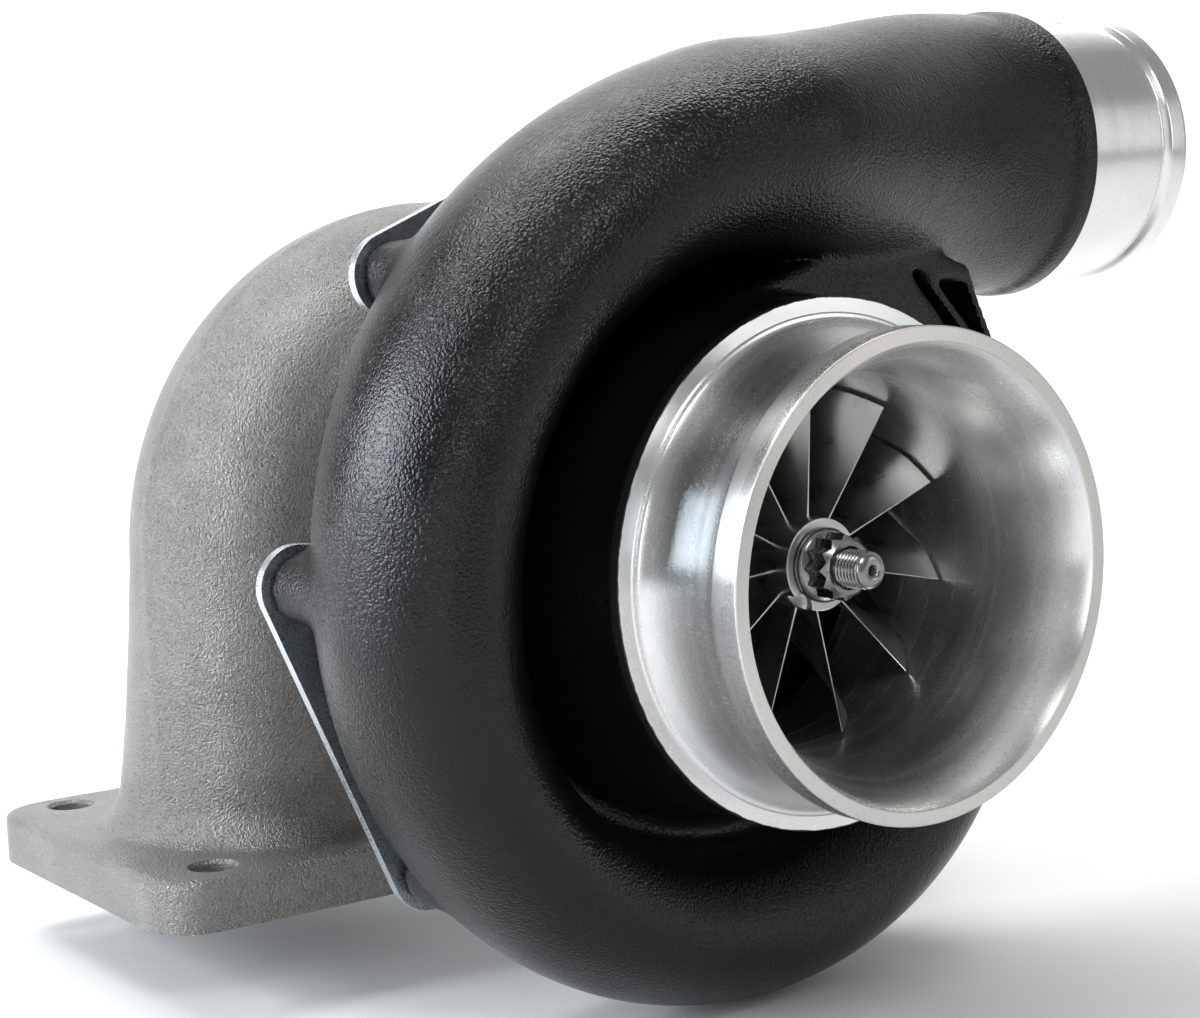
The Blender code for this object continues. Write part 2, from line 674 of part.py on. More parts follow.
def compressor_wheel():
    hub_curve = quarter(WHEEL_NOSE_R + 1.5, INDUCER_Y - 1, EXDUCER_R, WHEEL_BACK_Y - 2.5)
    hub = [(4.0, WHEEL_NOSE_Y), (WHEEL_NOSE_R, WHEEL_NOSE_Y), (WHEEL_NOSE_R, INDUCER_Y - 3)]
    hub += [hub_curve(i / 5) for i in range(6)]
    hub += [(EXDUCER_R, WHEEL_BACK_Y), (9, 87.4), (8.4, 88.0), (8.4, 91.7), (4.0, 91.7)]
    wheel = turned("compressor_wheel", hub, BILLET, 22)
    root = quarter(WHEEL_NOSE_R - 0.5, INDUCER_Y, EXDUCER_R - 0.4, WHEEL_BACK_Y - 1)
    over_shroud = quarter(INDUCER_R, SHROUD_START_Y, SHROUD_END_R, DIFFUSER_Y + 0.8)

    def tip_curve(share):
        early = 0.2
        if share < early:
            reach = SHROUD_START_Y - INDUCER_Y
            return (INDUCER_R, INDUCER_Y + reach * share / early)
        return over_shroud(0.965 * (share - early) / (1 - early))

    def angle_of(share):
        return FIRST_BLADE_ANGLE + BLADE_WRAP * share

    bladed("compressor_blades", WHEEL_BLADES, wheel,
           blade_sides(root, tip_curve, angle_of, 1.2, 6, 2))


def wheel_nut():
    """A flanged nut; its seat is on the wheel's nose."""
    turned("wheel_nut", [(3.8, 24.0), (6.6, 24.0), (6.8, 24.6), (6.8, 30.6), (9.4, 31.4),
                         (9.4, 33.0), (3.8, 33.0)], STEEL, 12)


def shaft_and_turbine_wheel():
    hub = [(0, STUD_END_Y), (STUD_R - 0.5, STUD_END_Y), (STUD_R, STUD_END_Y + 0.6),
           (STUD_R, 102.0), (JOURNAL_R, 102.0), (JOURNAL_R, 151.0), (9.0, 151.6), (9.0, 153.6),
           (7.2, 153.6), (7.2, 156.0), (9.0, 156.0), (9.0, 169.2), (TURBINE_HUB_R, 169.8),
           (TURBINE_HUB_R, 172.0)]
    for i in range(1, 6):
        t = math.radians(90 * i / 5)
        hub.append((8.0 + (TURBINE_HUB_R - 8.0) * (1 - math.sin(t)), 172 + 38 * (1 - math.cos(t))))
    hub += [(8.0, 216.0), (0, 216.0)]
    rotor = turned("turbine_shaft_wheel", hub, SHAFT_STEEL, 20)

    def root(share):
        t = math.radians(90 * share)
        return (7.5 + 18.5 * (1 - math.sin(t)), 171.5 + 38 * (1 - math.cos(t)))

    def tip(share):
        y = 173.6 + 35.9 * share
        return (blend_table(TURBINE_SHROUD, y) - TURBINE_TIP_GAP, y)

    def angle_of(share):
        return 76.8 * max(0.0, share - 0.3) ** 1.5

    bladed("turbine_blades", TURBINE_BLADES, rotor,
           blade_sides(root, tip, angle_of, 1.8, 6, 2))


def shaft_spacers():
    """Flinger sleeve, with the seal ring's groove, and the collar that bears on the thrust plate."""
    turned("flinger_sleeve", [(3.9, 92.0), (8.9, 92.0), (8.9, 92.9), (6.9, 92.9), (6.9, 95.1),
                              (8.9, 95.1), (8.9, 99.9), (3.9, 99.9)], SHAFT_STEEL, SMALL_STEPS)
    turned("thrust_collar", [(3.9, 100.2), (14, 100.2), (14, 100.9), (8.8, 100.9), (8.8, 101.7),
                             (3.9, 101.7)], SHAFT_STEEL, SMALL_STEPS)


# ---------------------------------------------------------------- turbine housing

# The scroll shrinks clockwise, seen from the mouth, from the left-hand side
TURBINE_OUTER_R = ((0, 90.5), (45, 87), (90, 82.5), (180, 72), (270, 63), (320, 58))
TURBINE_HALF_R = ((0, 29), (90, 26), (180, 20), (270, 13.5), (320, 9))
TURBINE_HALF_Y = ((0, 31), (90, 27), (180, 21), (270, 15), (320, 11))
TURBINE_POINTS = 14


def oval(centre, along_x, along_y, count, side=0, inset=0.0, divider=0.0):
    """An oval in a local plane, or one half of it beside a divider.

    `side` 0 is the whole oval; -1 or +1 is the half towards -Y or +Y.
    """
    points = []
    if side == 0:
        turns = [360 * i / count for i in range(count)]
    else:
        lean = math.degrees(math.asin(min(0.95, divider / max(along_y - inset, 0.1))))
        turns = [lean + (180 - 2 * lean) * i / (count - 1) for i in range(count)]
    for turn in turns:
        t = math.radians(turn)
        u = (along_x - inset) * math.cos(t)
        v = (along_y - inset) * math.sin(t)
        points.append((centre[0] + u, centre[1] + (v if side >= 0 else -v)))
    return points


def turbine_section(turn, side=0, inset=0.0):
    outer = blend_table(TURBINE_OUTER_R, turn)
    half_r = blend_table(TURBINE_HALF_R, turn)
    half_y = blend_table(TURBINE_HALF_Y, turn)
    count = TURBINE_POINTS if side == 0 else 7
    flat = oval((outer - half_r, TURBINE_Y), half_r, half_y, count, side, inset, DIVIDER_HALF)
    return [on_circle(radius, 180 - turn, y) for radius, y in flat]


# The leg runs down from the scroll's left side: (height, middle X, middle Y, half X, half Y)
LEG = ((6.0, -61.5, 180.0, 28.6, 30.6), (-20.0, -62.0, 182.0, 29.0, 32.0),
       (-45.0, -62.0, 187.0, 29.0, 34.0), (-64.0, -62.0, 190.5, 30.0, 36.0),
       (-69.0, -62.0, 191.0, 32.0, 39.0), (-74.0, -62.0, 191.0, 36.0, 43.5))
LEG_BORE = ((10.0, -61.0, 180.0, 20.0, 22.0), (-1.0, -62.0, 180.1, 24.5, 26.5),
            (-20.0, -62.0, 182.0, 24.5, 27.0), (-45.0, -62.0, 187.0, 24.5, 29.0),
            (-70.0, -62.0, 191.0, 24.5, 30.5), (-95.0, -62.0, 191.0, 24.5, 30.5))


def turbine_leg():
    rings = []
    for z, x, y, half_x, half_y in LEG:
        flat = oval((x, y), half_x, half_y, TURBINE_POINTS)
        rings.append([(px, py, z) for px, py in flat])
    return loft("leg_outside", rings)


def turbine_port(side):
    rings = []
    for z, x, y, half_x, half_y in LEG_BORE:
        flat = oval((x, y), half_x, half_y, 7, side, 0.0, DIVIDER_HALF)
        rings.append([(px, py, z) for px, py in flat])
    return loft(f"port_{side}", rings)


def turbine_bore_profile():
    nozzle_front = TURBINE_Y - NOZZLE_HALF_WIDTH
    nozzle_back = TURBINE_Y + NOZZLE_HALF_WIDTH
    return [(0, TURBINE_FRONT_Y - 8), (48, TURBINE_FRONT_Y - 8), (48, 157.3), (39.2, 157.3),
            (39.2, nozzle_front), (46, nozzle_front), (46, nozzle_back),
            *[(radius, y) for y, radius in TURBINE_SHROUD], (TURBINE_OUTLET_R, 234),
            (TURBINE_OUTLET_R, TURBINE_OUTLET_Y + 8), (0, TURBINE_OUTLET_Y + 8)]


def turbine_body_profile():
    return [(20, TURBINE_FRONT_Y), (60, TURBINE_FRONT_Y), (60, 168), (56, 172), (56, 192),
            (46, 203), (41, 210), (41, 229), (46.5, 232.5), (46.5, 234.5),
            (43, TURBINE_OUTLET_Y), (20, TURBINE_OUTLET_Y)]


def turbine_housing():
    housing = turned("turbine_housing", turbine_body_profile(), IRON)
    turns = list(range(0, 321, 20))
    scroll = loft("turbine_scroll", [turbine_section(turn) for turn in turns])
    plate = outline_plate("flange_plate",
                          rounded_rectangle(FLANGE_HALF_X, FLANGE_HALF_Y, FLANGE_CORNER_R),
                          FLANGE_TOP_Z - FLANGE_BOTTOM_Z,
                          Matrix.Translation(Vector((FLANGE_CENTRE_X, FLANGE_BEHIND_MOUTH,
                                                     (FLANGE_TOP_Z + FLANGE_BOTTOM_Z) / 2)) * MM))
    join_on(housing, scroll, turbine_leg(), plate)
    for side in (-1, 1):
        channel = [turbine_section(turn, side, TURBINE_WALL) for turn in turns[:-1]]
        cut_from(housing, loft(f"channel_{side}", channel), turbine_port(side))
    cut_from(housing, turned("turbine_bore", turbine_bore_profile()))
    for i, (side_x, side_y) in enumerate(((-1, -1), (-1, 1), (1, -1), (1, 1))):
        x = FLANGE_CENTRE_X + side_x * FLANGE_HOLE_HALF_X
        y = FLANGE_BEHIND_MOUTH + side_y * FLANGE_HOLE_HALF_Y
        cut_from(housing, rod(f"flange_hole_{i}", (x, y, FLANGE_BOTTOM_Z - 5),
                              (x, y, FLANGE_TOP_Z + 12), FLANGE_HOLE_R))
    for i, angle in enumerate(turbine_bolt_angles()):
        cut_from(housing, rod(f"turbine_bolt_hole_{i}",
                              on_circle(TURBINE_CLAMP_CIRCLE_R, angle, TURBINE_FRONT_Y - 5),
                              on_circle(TURBINE_CLAMP_CIRCLE_R, angle, 155.6), 2.9, segments=8))
    weld(housing)


def turbine_bolt_angles():
    return [angle for clamp in TURBINE_CLAMP_ANGLES for angle in clamp]


def turbine_clamps():
    thickness = 2.4
    front = TURBINE_FRONT_Y - GAP - thickness
    place = across_shaft(front + thickness / 2)
    for number, angles in enumerate(TURBINE_CLAMP_ANGLES, 1):
        low = angles[0] - 8
        high = angles[-1] + 8
        outline = arc((0, 0), 58.5, low, high, 7) + arc((0, 0), 43.5, high, low, 7)
        plate = outline_plate(f"turbine_clamp_{number}", outline, thickness, place, STAINLESS)
        for i, angle in enumerate(angles):
            cut_from(plate, rod(f"turbine_clamp_{number}_hole_{i}",
                                on_circle(TURBINE_CLAMP_CIRCLE_R, angle, front - 5),
                                on_circle(TURBINE_CLAMP_CIRCLE_R, angle, front + 8), 2.9,
                                segments=12))
    return front


# ---------------------------------------------------------------- assembly

def build():
    compressor_cover()
    cover_clamps()
    cover_bolt = hex_bolt_mesh("cover_bolt_mesh", 5.8, 5.0, 3.0, 12.0)
    place_bolts("cover_bolt", cover_bolt, CLAMP_CIRCLE_R, cover_bolt_angles(),
                CLAMP_Y + CLAMP_THICKNESS + GAP, ZINC)
    back_plate()
    centre_bolt = hex_bolt_mesh("back_plate_bolt_mesh", 5.8, 4.5, 3.0, 10.0)
    place_bolts("back_plate_bolt", centre_bolt, CENTRE_BOLT_CIRCLE_R, centre_bolt_angles(),
                CENTRE_FLANGE_BACK_Y + GAP + 1.2)
    centre_housing()
    bearings_and_seals()
    compressor_wheel()
    wheel_nut()
    shaft_spacers()
    shaft_and_turbine_wheel()
    turbine_housing()
    clamp_front = turbine_clamps()
    turbine_bolt = hex_bolt_mesh("turbine_bolt_mesh", 5.0, 4.0, 2.5, 8.0)
    place_bolts("turbine_bolt", turbine_bolt, TURBINE_CLAMP_CIRCLE_R, turbine_bolt_angles(),
                clamp_front - GAP, STEEL, turned_round=True)


build()
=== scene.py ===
"""The looks of the turbocharger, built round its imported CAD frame.

Shapes are in millimetres about the shaft datum: the centre of the inlet mouth, with +Y
along the shaft towards the turbine, +X to the right and +Z up.  Castings are drawn as
fields of distance to their surface, because smooth unions of fields give cast fillets,
and are then skinned.  Turned pieces are outlines carried round an axis.
"""
import json
import math

import bmesh
import bpy
import numpy as np
import openvdb
from mathutils import Matrix, Vector


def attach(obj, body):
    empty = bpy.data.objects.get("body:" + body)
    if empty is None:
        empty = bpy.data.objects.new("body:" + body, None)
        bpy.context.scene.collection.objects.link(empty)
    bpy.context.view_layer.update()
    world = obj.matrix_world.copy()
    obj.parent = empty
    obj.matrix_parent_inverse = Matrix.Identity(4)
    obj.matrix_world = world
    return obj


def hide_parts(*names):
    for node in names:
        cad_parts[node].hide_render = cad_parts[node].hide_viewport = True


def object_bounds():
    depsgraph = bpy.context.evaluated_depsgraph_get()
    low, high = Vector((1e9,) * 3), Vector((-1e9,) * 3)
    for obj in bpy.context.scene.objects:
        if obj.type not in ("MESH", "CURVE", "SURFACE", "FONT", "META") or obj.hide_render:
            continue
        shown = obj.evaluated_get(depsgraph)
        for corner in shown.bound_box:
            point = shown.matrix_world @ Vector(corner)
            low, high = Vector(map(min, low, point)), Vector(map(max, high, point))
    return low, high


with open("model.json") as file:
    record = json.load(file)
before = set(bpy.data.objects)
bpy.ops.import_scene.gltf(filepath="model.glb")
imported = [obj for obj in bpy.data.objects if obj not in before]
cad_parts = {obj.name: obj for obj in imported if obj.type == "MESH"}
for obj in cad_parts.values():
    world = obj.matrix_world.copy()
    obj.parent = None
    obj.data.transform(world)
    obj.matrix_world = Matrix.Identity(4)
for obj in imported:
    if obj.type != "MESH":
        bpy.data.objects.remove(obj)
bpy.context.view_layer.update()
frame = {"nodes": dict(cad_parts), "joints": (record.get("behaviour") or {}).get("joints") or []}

MM = 0.001
rotor_joint = next(j for j in frame["joints"] if j["name"] == "rotor_spin")
DATUM = Vector(rotor_joint["pos_m"])
HOUSINGS = "housings"
ROTOR = "rotor"
COVER_STEP = 1.3
CENTRE_STEP = 1.3
TURBINE_STEP = 1.25
TURN_STEPS = 192
CORNER_STEPS = 3

# Compressor cover
MOUTH_BORE_R = 47.6
MOUTH_LIP_R = 50.8
BELL_DEPTH = 36.0
LIP_Y = 7.4
COLLAR_Y = 29.7
COLLAR_R = 56.8
SHROUD_R = 40.2
SHROUD_START_Y = 44.0
SHROUD_END_R = 54.6
DIFFUSER_Y = 82.0
COVER_BACK_Y = 92.0
REGISTER_R = 84.9
SCROLL_BACK_Y = 91.4
COVER_WALL = 5.0
SCROLL_OUTER_R = ((-40, 102), (0, 104), (45, 107), (90, 103), (180, 101.5), (225, 104), (250, 107.5),
                  (270, 112.5))
SCROLL_INNER_R = ((-40, 83), (0, 80), (45, 74), (90, 67.5), (180, 65), (270, 66))
SCROLL_FRONT_Y = ((-40, 73), (0, 67), (45, 55), (90, 46), (180, 35), (270, 25.5))
TONGUE_WEB = ((-8, 58), (20, 66), (44, 68), (62, 62), (65.5, 53.5), (73, 38), (68, 24), (52, 24),
              (40, 40), (20, 53))
TONGUE_WEB_Y = 50.0
TONGUE_POCKETS = (((43.5, 61.5), (46.5, 61.0), (59.5, 46.5), (57.5, 45.5)),
                  ((52, 58.5), (61.0, 58.0), (64.0, 51.0), (67.5, 43.5), (64.0, 46.0), (58.0, 52.0)))
OUTLET_CENTRE = (102.2, 82.6, 88.7)
OUTLET_TILT = math.radians(2.3)
DUCT_START_X = -9.0
DUCT_END_R = 34.0
OUTLET_CAST_R = 34.9
OUTLET_PIPE_R = 31.75
OUTLET_BORE_R = 29.0
OUTLET_LENGTH = 35.4

# Clamps and bolts
CLAMP_CIRCLE_R = 93.0
CLAMP_LOBE_R = 9.2
BOSS_R = 7.5
CLAMP_Y = 94.2
CLAMP_THICKNESS = 2.5
COVER_CLAMPS = ((180, 226), (90, 136), (270, 316), (0,))
COVER_BOLTS = [angle for clamp in COVER_CLAMPS for angle in clamp]
BACK_PLATE_BOLT_R = 50.0
BACK_PLATE_BOLTS = (45, 135, 225, 315)
TURBINE_BOLT_R = 52.5
TURBINE_CLAMPS = ((30, 90), (150, 210), (270, 330))
TURBINE_BOLTS = [angle for clamp in TURBINE_CLAMPS for angle in clamp]

# Rotor
WHEEL_BLADES = 11
INDUCER_R = 39.4
INDUCER_Y = 38.4
EXDUCER_R = 54.0
WHEEL_BACK_Y = 87.0
NOSE_R = 10.0
NOSE_Y = 33.3
FIRST_BLADE = 54.0
BLADE_WRAP = 52.0
BALANCE_CUT = 234.0
NUT_Y = 24.7
STUD_R = 4.1
STUD_END_Y = 17.3
THREAD_PITCH = 1.0
THREAD_DEPTH = 0.55
TURBINE_BLADES = 11

# Centre and turbine housings
OIL_Y = 127.8
# Feed and drain bores, then the screw holes beside each: x, radius, bottom and top
OIL_HOLES = ((0, 4, 5, 45), (0, 9, -50, -5), (-10.5, 2.2, 33, 45), (10.5, 2.2, 33, 45),
             (-18, 3.2, -50, -34), (18, 3.2, -50, -34))
TURBINE_Y = 180.0
TURBINE_OUTER_R = ((0, 90.5), (45, 87), (90, 82.5), (180, 72), (270, 63), (320, 58))
TURBINE_HALF_R = ((0, 29), (90, 26), (180, 20), (270, 13.5), (320, 9))
TURBINE_HALF_Y = ((0, 31), (90, 27), (180, 21), (270, 15), (320, 11))
LEG = ((-74.0, -62.0, 191.0, 36.0, 43.5), (-69.0, -62.0, 191.0, 32.0, 39.0),
       (-64.0, -62.0, 190.5, 30.0, 36.0), (-45.0, -62.0, 187.0, 29.0, 34.0),
       (-20.0, -62.0, 182.0, 29.0, 32.0), (6.0, -61.5, 180.0, 28.6, 30.6))
TURBINE_SHROUD = ((187.0, 37.4), (192.0, 35.4), (198.0, 33.4), (212.0, 33.4))
FLANGE_CENTRE = (-62.0, 191.0)
FLANGE_TOP_Z = -71.5
FLANGE_BOTTOM_Z = -84.0
FLANGE_HALF = (47.0, 54.5)
FLANGE_CORNER_R = 13.0
FLANGE_HOLES = (29.5, 42.5)
FLANGE_HOLE_R = 5.4

# Studio, in metres.  Each lamp: name, place, what it faces, width and height, watts, colour
WHITE = (1.0, 1.0, 1.0)
MIDDLE = (0.05, -0.08, 0.1)
LAMPS = (("key", (-1.3, 0.4, 0.55), MIDDLE, (0.3, 0.8), 13, (0.78, 0.89, 1.0)),
         ("key_behind", (-1.2, 0.9, 0.5), MIDDLE, (0.4, 0.8), 17, (0.9, 0.95, 1.0)),
         ("key_above", (-1.0, 0.5, 1.0), MIDDLE, (0.5, 0.5), 2, WHITE),
         ("top", (-0.45, 0.45, 1.25), MIDDLE, (0.5, 0.4), 5, WHITE),
         ("front", (-0.4, -1.3, 1.3), MIDDLE, (0.5, 0.5), 8, WHITE),
         ("right", (1.0, -1.3, 0.5), MIDDLE, (0.5, 0.8), 2.2, WHITE),
         ("left", (-0.95, -0.9, 0.3), MIDDLE, (0.25, 0.6), 2, WHITE),
         ("backdrop", (0.5, 0.75, 1.8), (1.0, 1.6, 0.0), (1.8, 1.2), 44, WHITE))
SWEEP_START_Y = 1.2
SWEEP_R = 0.9
SWEEP_TURN = -35
WORLD_COLOUR = (0.95, 0.97, 1.0, 1.0)
WORLD_STRENGTH = 0.31

CAMERA_SPOT = (-0.2558, -0.5230, 0.1487)
CAMERA_RIGHT = (0.8135, -0.5803, -0.0380)
CAMERA_UP = (0.1105, 0.0901, 0.9898)
CAMERA_LENS = 68.33
CAMERA_SHIFT = (0.0058, 0.062)


# ---- materials

def node(tree, kind, inputs=None, **settings):
    """Add a shader node; an input is given a value, or another node's output."""
    made = tree.nodes.new(kind)
    for name, value in settings.items():
        setattr(made, name, value)
    for name, value in (inputs or {}).items():
        if isinstance(value, bpy.types.NodeSocket):
            tree.links.new(value, made.inputs[name])
        else:
            made.inputs[name].default_value = value
    return made.outputs[0]


def calculate(tree, operation, first, second=0.0):
    return node(tree, "ShaderNodeMath", {0: first, 1: second}, operation=operation)


def noise(tree, where, size_mm, detail=3.0, roughness=0.55):
    return node(tree, "ShaderNodeTexNoise",
                {"Vector": where, "Scale": 1 / (size_mm * MM), "Detail": detail,
                 "Roughness": roughness})


def spread(tree, value, low, high, to_low, to_high):
    return node(tree, "ShaderNodeMapRange",
                {"Value": value, "From Min": low, "From Max": high, "To Min": to_low,
                 "To Max": to_high}, interpolation_type="SMOOTHSTEP")


def mix(tree, share, first, second):
    """Blend two colours by a share, which are the Mix node's inputs 0, 6 and 7."""
    mixed = node(tree, "ShaderNodeMix", {0: share, 6: first, 7: second}, data_type="RGBA")
    return mixed.node.outputs[2]


def ramp(tree, value, stops):
    made = tree.nodes.new("ShaderNodeValToRGB")
    tree.links.new(value, made.inputs[0])
    elements = made.color_ramp.elements
    while len(elements) < len(stops):
        elements.new(0.5)
    for element, (position, colour) in zip(elements, stops):
        element.position = position
        element.color = (*colour, 1.0)
    return made.outputs[0]


def bump(tree, height, depth_mm, strength, under=None):
    inputs = {"Height": height, "Distance": depth_mm * MM, "Strength": strength}
    if under is not None:
        inputs["Normal"] = under
    return node(tree, "ShaderNodeBump", inputs)


def start_material(name, metallic, **fixed):
    """A material with its shader's fixed values set, its tree and its object coordinates."""
    material = bpy.data.materials.new(name)
    material.use_nodes = True
    tree = material.node_tree
    shader = tree.nodes["Principled BSDF"]
    shader.inputs["Metallic"].default_value = metallic
    for socket, value in fixed.items():
        shader.inputs[socket.replace("_", " ")].default_value = value
    coordinates = tree.nodes.new("ShaderNodeTexCoord").outputs["Object"]
    return material, tree, shader, coordinates


def finish_shader(tree, shader, colour, roughness, normal=None):
    tree.links.new(colour, shader.inputs["Base Color"])
    tree.links.new(roughness, shader.inputs["Roughness"])
    if normal is not None:
        tree.links.new(normal, shader.inputs["Normal"])


def black_coating():
    """Black powder coat over a sand casting: a fine pebbled skin, smoother in patches."""
    material, tree, shader, where = start_material("black_coating", 0.0, Specular_IOR_Level=0.3)
    patches = noise(tree, where, 24.0, 2.0)
    pebbles = noise(tree, where, 0.7, 1.0, 0.5)
    grit = noise(tree, where, 0.45, 1.0, 0.5)
    orange_peel = noise(tree, where, 4.0, 2.0)
    colour = ramp(tree, patches, ((0.3, (0.0036, 0.0036, 0.004)), (0.7, (0.006, 0.0057, 0.0057))))
    roughness = spread(tree, calculate(tree, "ADD", patches, pebbles), 0.75, 1.25, 0.17, 0.27)
    strength = spread(tree, patches, 0.35, 0.65, 0.55, 1.0)
    raised = calculate(tree, "MULTIPLY", calculate(tree, "ADD", pebbles,
                                                   calculate(tree, "MULTIPLY", grit, 0.4)), strength)
    normal = bump(tree, raised, 0.34, 1.0, bump(tree, orange_peel, 0.18, 0.5))
    finish_shader(tree, shader, colour, roughness, normal)
    return material


def turning_coordinates(tree, where):
    """(radius, distance along the turning axis Y, angle) at a point."""
    split = tree.nodes.new("ShaderNodeSeparateXYZ")
    tree.links.new(where, split.inputs[0])
    x, y, z = split.outputs
    radius = calculate(tree, "SQRT", calculate(tree, "ADD", calculate(tree, "MULTIPLY", x, x),
                                               calculate(tree, "MULTIPLY", z, z)))
    angle = calculate(tree, "ARCTAN2", z, x)
    return radius, y, angle


def drawn_round(tree, where, run):
    """Coordinates drawn out round the axis: noise on them looks like a turning tool's marks."""
    radius, along, angle = turning_coordinates(tree, where)
    return node(tree, "ShaderNodeCombineXYZ",
                {0: radius, 1: along, 2: calculate(tree, "MULTIPLY", angle, run * MM)})


def machined_aluminium(name, colour, roughness, anisotropy=0.6, mark_depth=0.006, edge_paint_r=None,
                       faced_to=None):
    """Bright turned metal, its highlights drawn out across the tool marks.

    Up to `faced_to` along the axis it was only faced off, so it is duller and warmer.  Past
    `edge_paint_r` the black coating still covers the metal unevenly.
    """
    material, tree, shader, where = start_material(name, 1.0, Anisotropic=anisotropy,
                                                   Anisotropic_Rotation=0.25)
    tangent = node(tree, "ShaderNodeTangent", direction_type="RADIAL", axis="Y")
    tree.links.new(tangent, shader.inputs["Tangent"])
    stretched = drawn_round(tree, where, 0.25)
    marks = noise(tree, stretched, 0.35, 2.0, 0.5)
    broad = noise(tree, stretched, 4.0, 2.0)
    smudges = noise(tree, where, 14.0, 3.0)
    specks = noise(tree, where, 0.6, 2.0)
    tilted = node(tree, "ShaderNodeMapping",
                  {"Vector": where, "Rotation": (0.4, 0.9, 0.3), "Scale": (1.0, 1.0, 0.12)})
    scratches = node(tree, "ShaderNodeTexVoronoi", {"Vector": tilted, "Scale": 260.0},
                     feature="DISTANCE_TO_EDGE")
    hidden = spread(tree, smudges, 0.5, 0.62, 0.06, 0.0)
    scratch = spread(tree, calculate(tree, "ADD", scratches, hidden), 0.0, 0.01, 1.0, 0.0)
    dark = tuple(c * 0.93 for c in colour)
    tint = ramp(tree, smudges, ((0.3, dark), (0.65, colour)))
    rough = calculate(tree, "ADD", spread(tree, broad, 0.3, 0.7, roughness * 0.92, roughness * 1.1),
                      spread(tree, specks, 0.55, 0.8, 0.0, 0.06))
    raised = calculate(tree, "SUBTRACT", marks, calculate(tree, "MULTIPLY", scratch, 0.8))
    radius, along, _ = turning_coordinates(tree, where)
    if faced_to:
        faced = calculate(tree, "LESS_THAN", along, faced_to * MM)
        rough = calculate(tree, "ADD", rough, calculate(tree, "MULTIPLY", faced, 0.2))
        warm = ramp(tree, specks, ((0.3, (0.54, 0.51, 0.48)), (0.42, (0.68, 0.66, 0.63))))
        tint = mix(tree, faced, tint, warm)
    if edge_paint_r:
        wander = spread(tree, noise(tree, where, 2.2, 3.0), 0.3, 0.7, -0.1 * MM, 0.1 * MM)
        paint = spread(tree, calculate(tree, "ADD", radius, wander),
                       (edge_paint_r - 0.05) * MM, (edge_paint_r + 0.05) * MM, 0.0, 1.0)
        tint = mix(tree, paint, tint, (0.012, 0.012, 0.012, 1.0))
        tree.links.new(calculate(tree, "SUBTRACT", 1.0, paint), shader.inputs["Metallic"])
    finish_shader(tree, shader, tint, rough, bump(tree, raised, mark_depth, 0.9))
    return material


def milled_aluminium():
    """Wheel blades: satin five-axis milling with fine parallel passes."""
    material, tree, shader, where = start_material("milled_aluminium", 1.0)
    passes = noise(tree, drawn_round(tree, where, 0.3), 0.4, 2.0, 0.5)
    cloudy = noise(tree, where, 9.0, 2.0)
    colour = ramp(tree, cloudy, ((0.3, (0.48, 0.472, 0.46)), (0.7, (0.56, 0.552, 0.535))))
    roughness = spread(tree, cloudy, 0.3, 0.7, 0.26, 0.36)
    finish_shader(tree, shader, colour, roughness, bump(tree, passes, 0.004, 0.6))
    return material


def cast_iron(name, light, dark, grain=1.0, machined=False):
    """Bare blasted iron: sandy grain, mottled, with a few darker pits."""
    material, tree, shader, where = start_material(name, 0.82)
    mottle = noise(tree, where, 14.0, 3.0)
    sand = noise(tree, where, 0.8, 2.0, 0.65)
    fine = noise(tree, where, 0.4, 1.0)
    pits = node(tree, "ShaderNodeTexVoronoi", {"Vector": where, "Scale": 420.0})
    pit = spread(tree, calculate(tree, "ADD", pits, spread(tree, mottle, 0.5, 0.7, 0.1, 0.0)),
                 0.03, 0.1, 1.0, 0.0)
    shade = calculate(tree, "ADD", calculate(tree, "MULTIPLY", mottle, 0.4),
                      calculate(tree, "MULTIPLY", sand, 0.6))
    colour = ramp(tree, shade, ((0.3, dark), (0.7, light)))
    colour = mix(tree, calculate(tree, "MULTIPLY", pit, 0.2), colour,
                 (*[c * 0.45 for c in dark], 1.0))
    base = 0.32 if machined else 0.27
    roughness = spread(tree, sand, 0.3, 0.7, base, base + 0.14)
    raised = calculate(tree, "ADD", sand, calculate(tree, "MULTIPLY", fine, 0.5))
    raised = calculate(tree, "SUBTRACT", raised, calculate(tree, "MULTIPLY", pit, 0.4))
    normal = bump(tree, raised, 0.05 if machined else 0.65 * grain, 1.0)
    finish_shader(tree, shader, colour, roughness, normal)
    return material


def plain_metal(name, light, dark, roughness, grain_mm=0.5, depth_mm=0.01):
    """Small metal parts: cloudy colour, with a fine grain of the given size and depth."""
    material, tree, shader, where = start_material(name, 1.0)
    cloud = noise(tree, where, 6.0, 3.0)
    grain = noise(tree, where, grain_mm, 2.0)
    colour = ramp(tree, cloud, ((0.35, dark), (0.65, light)))
    rough = spread(tree, grain, 0.3, 0.7, roughness * 0.8, roughness * 1.25)
    finish_shader(tree, shader, colour, rough, bump(tree, grain, depth_mm, 0.8))
    return material


def rubber_material():
    material, tree, shader, where = start_material("nitrile_rubber", 0.0)
    bloom = noise(tree, where, 3.0, 3.0)
    colour = ramp(tree, bloom, ((0.3, (0.012, 0.012, 0.012)), (0.7, (0.03, 0.03, 0.029))))
    finish_shader(tree, shader, colour, spread(tree, bloom, 0.3, 0.7, 0.5, 0.75),
                  bump(tree, noise(tree, where, 0.3, 2.0), 0.01, 0.6))
    return material


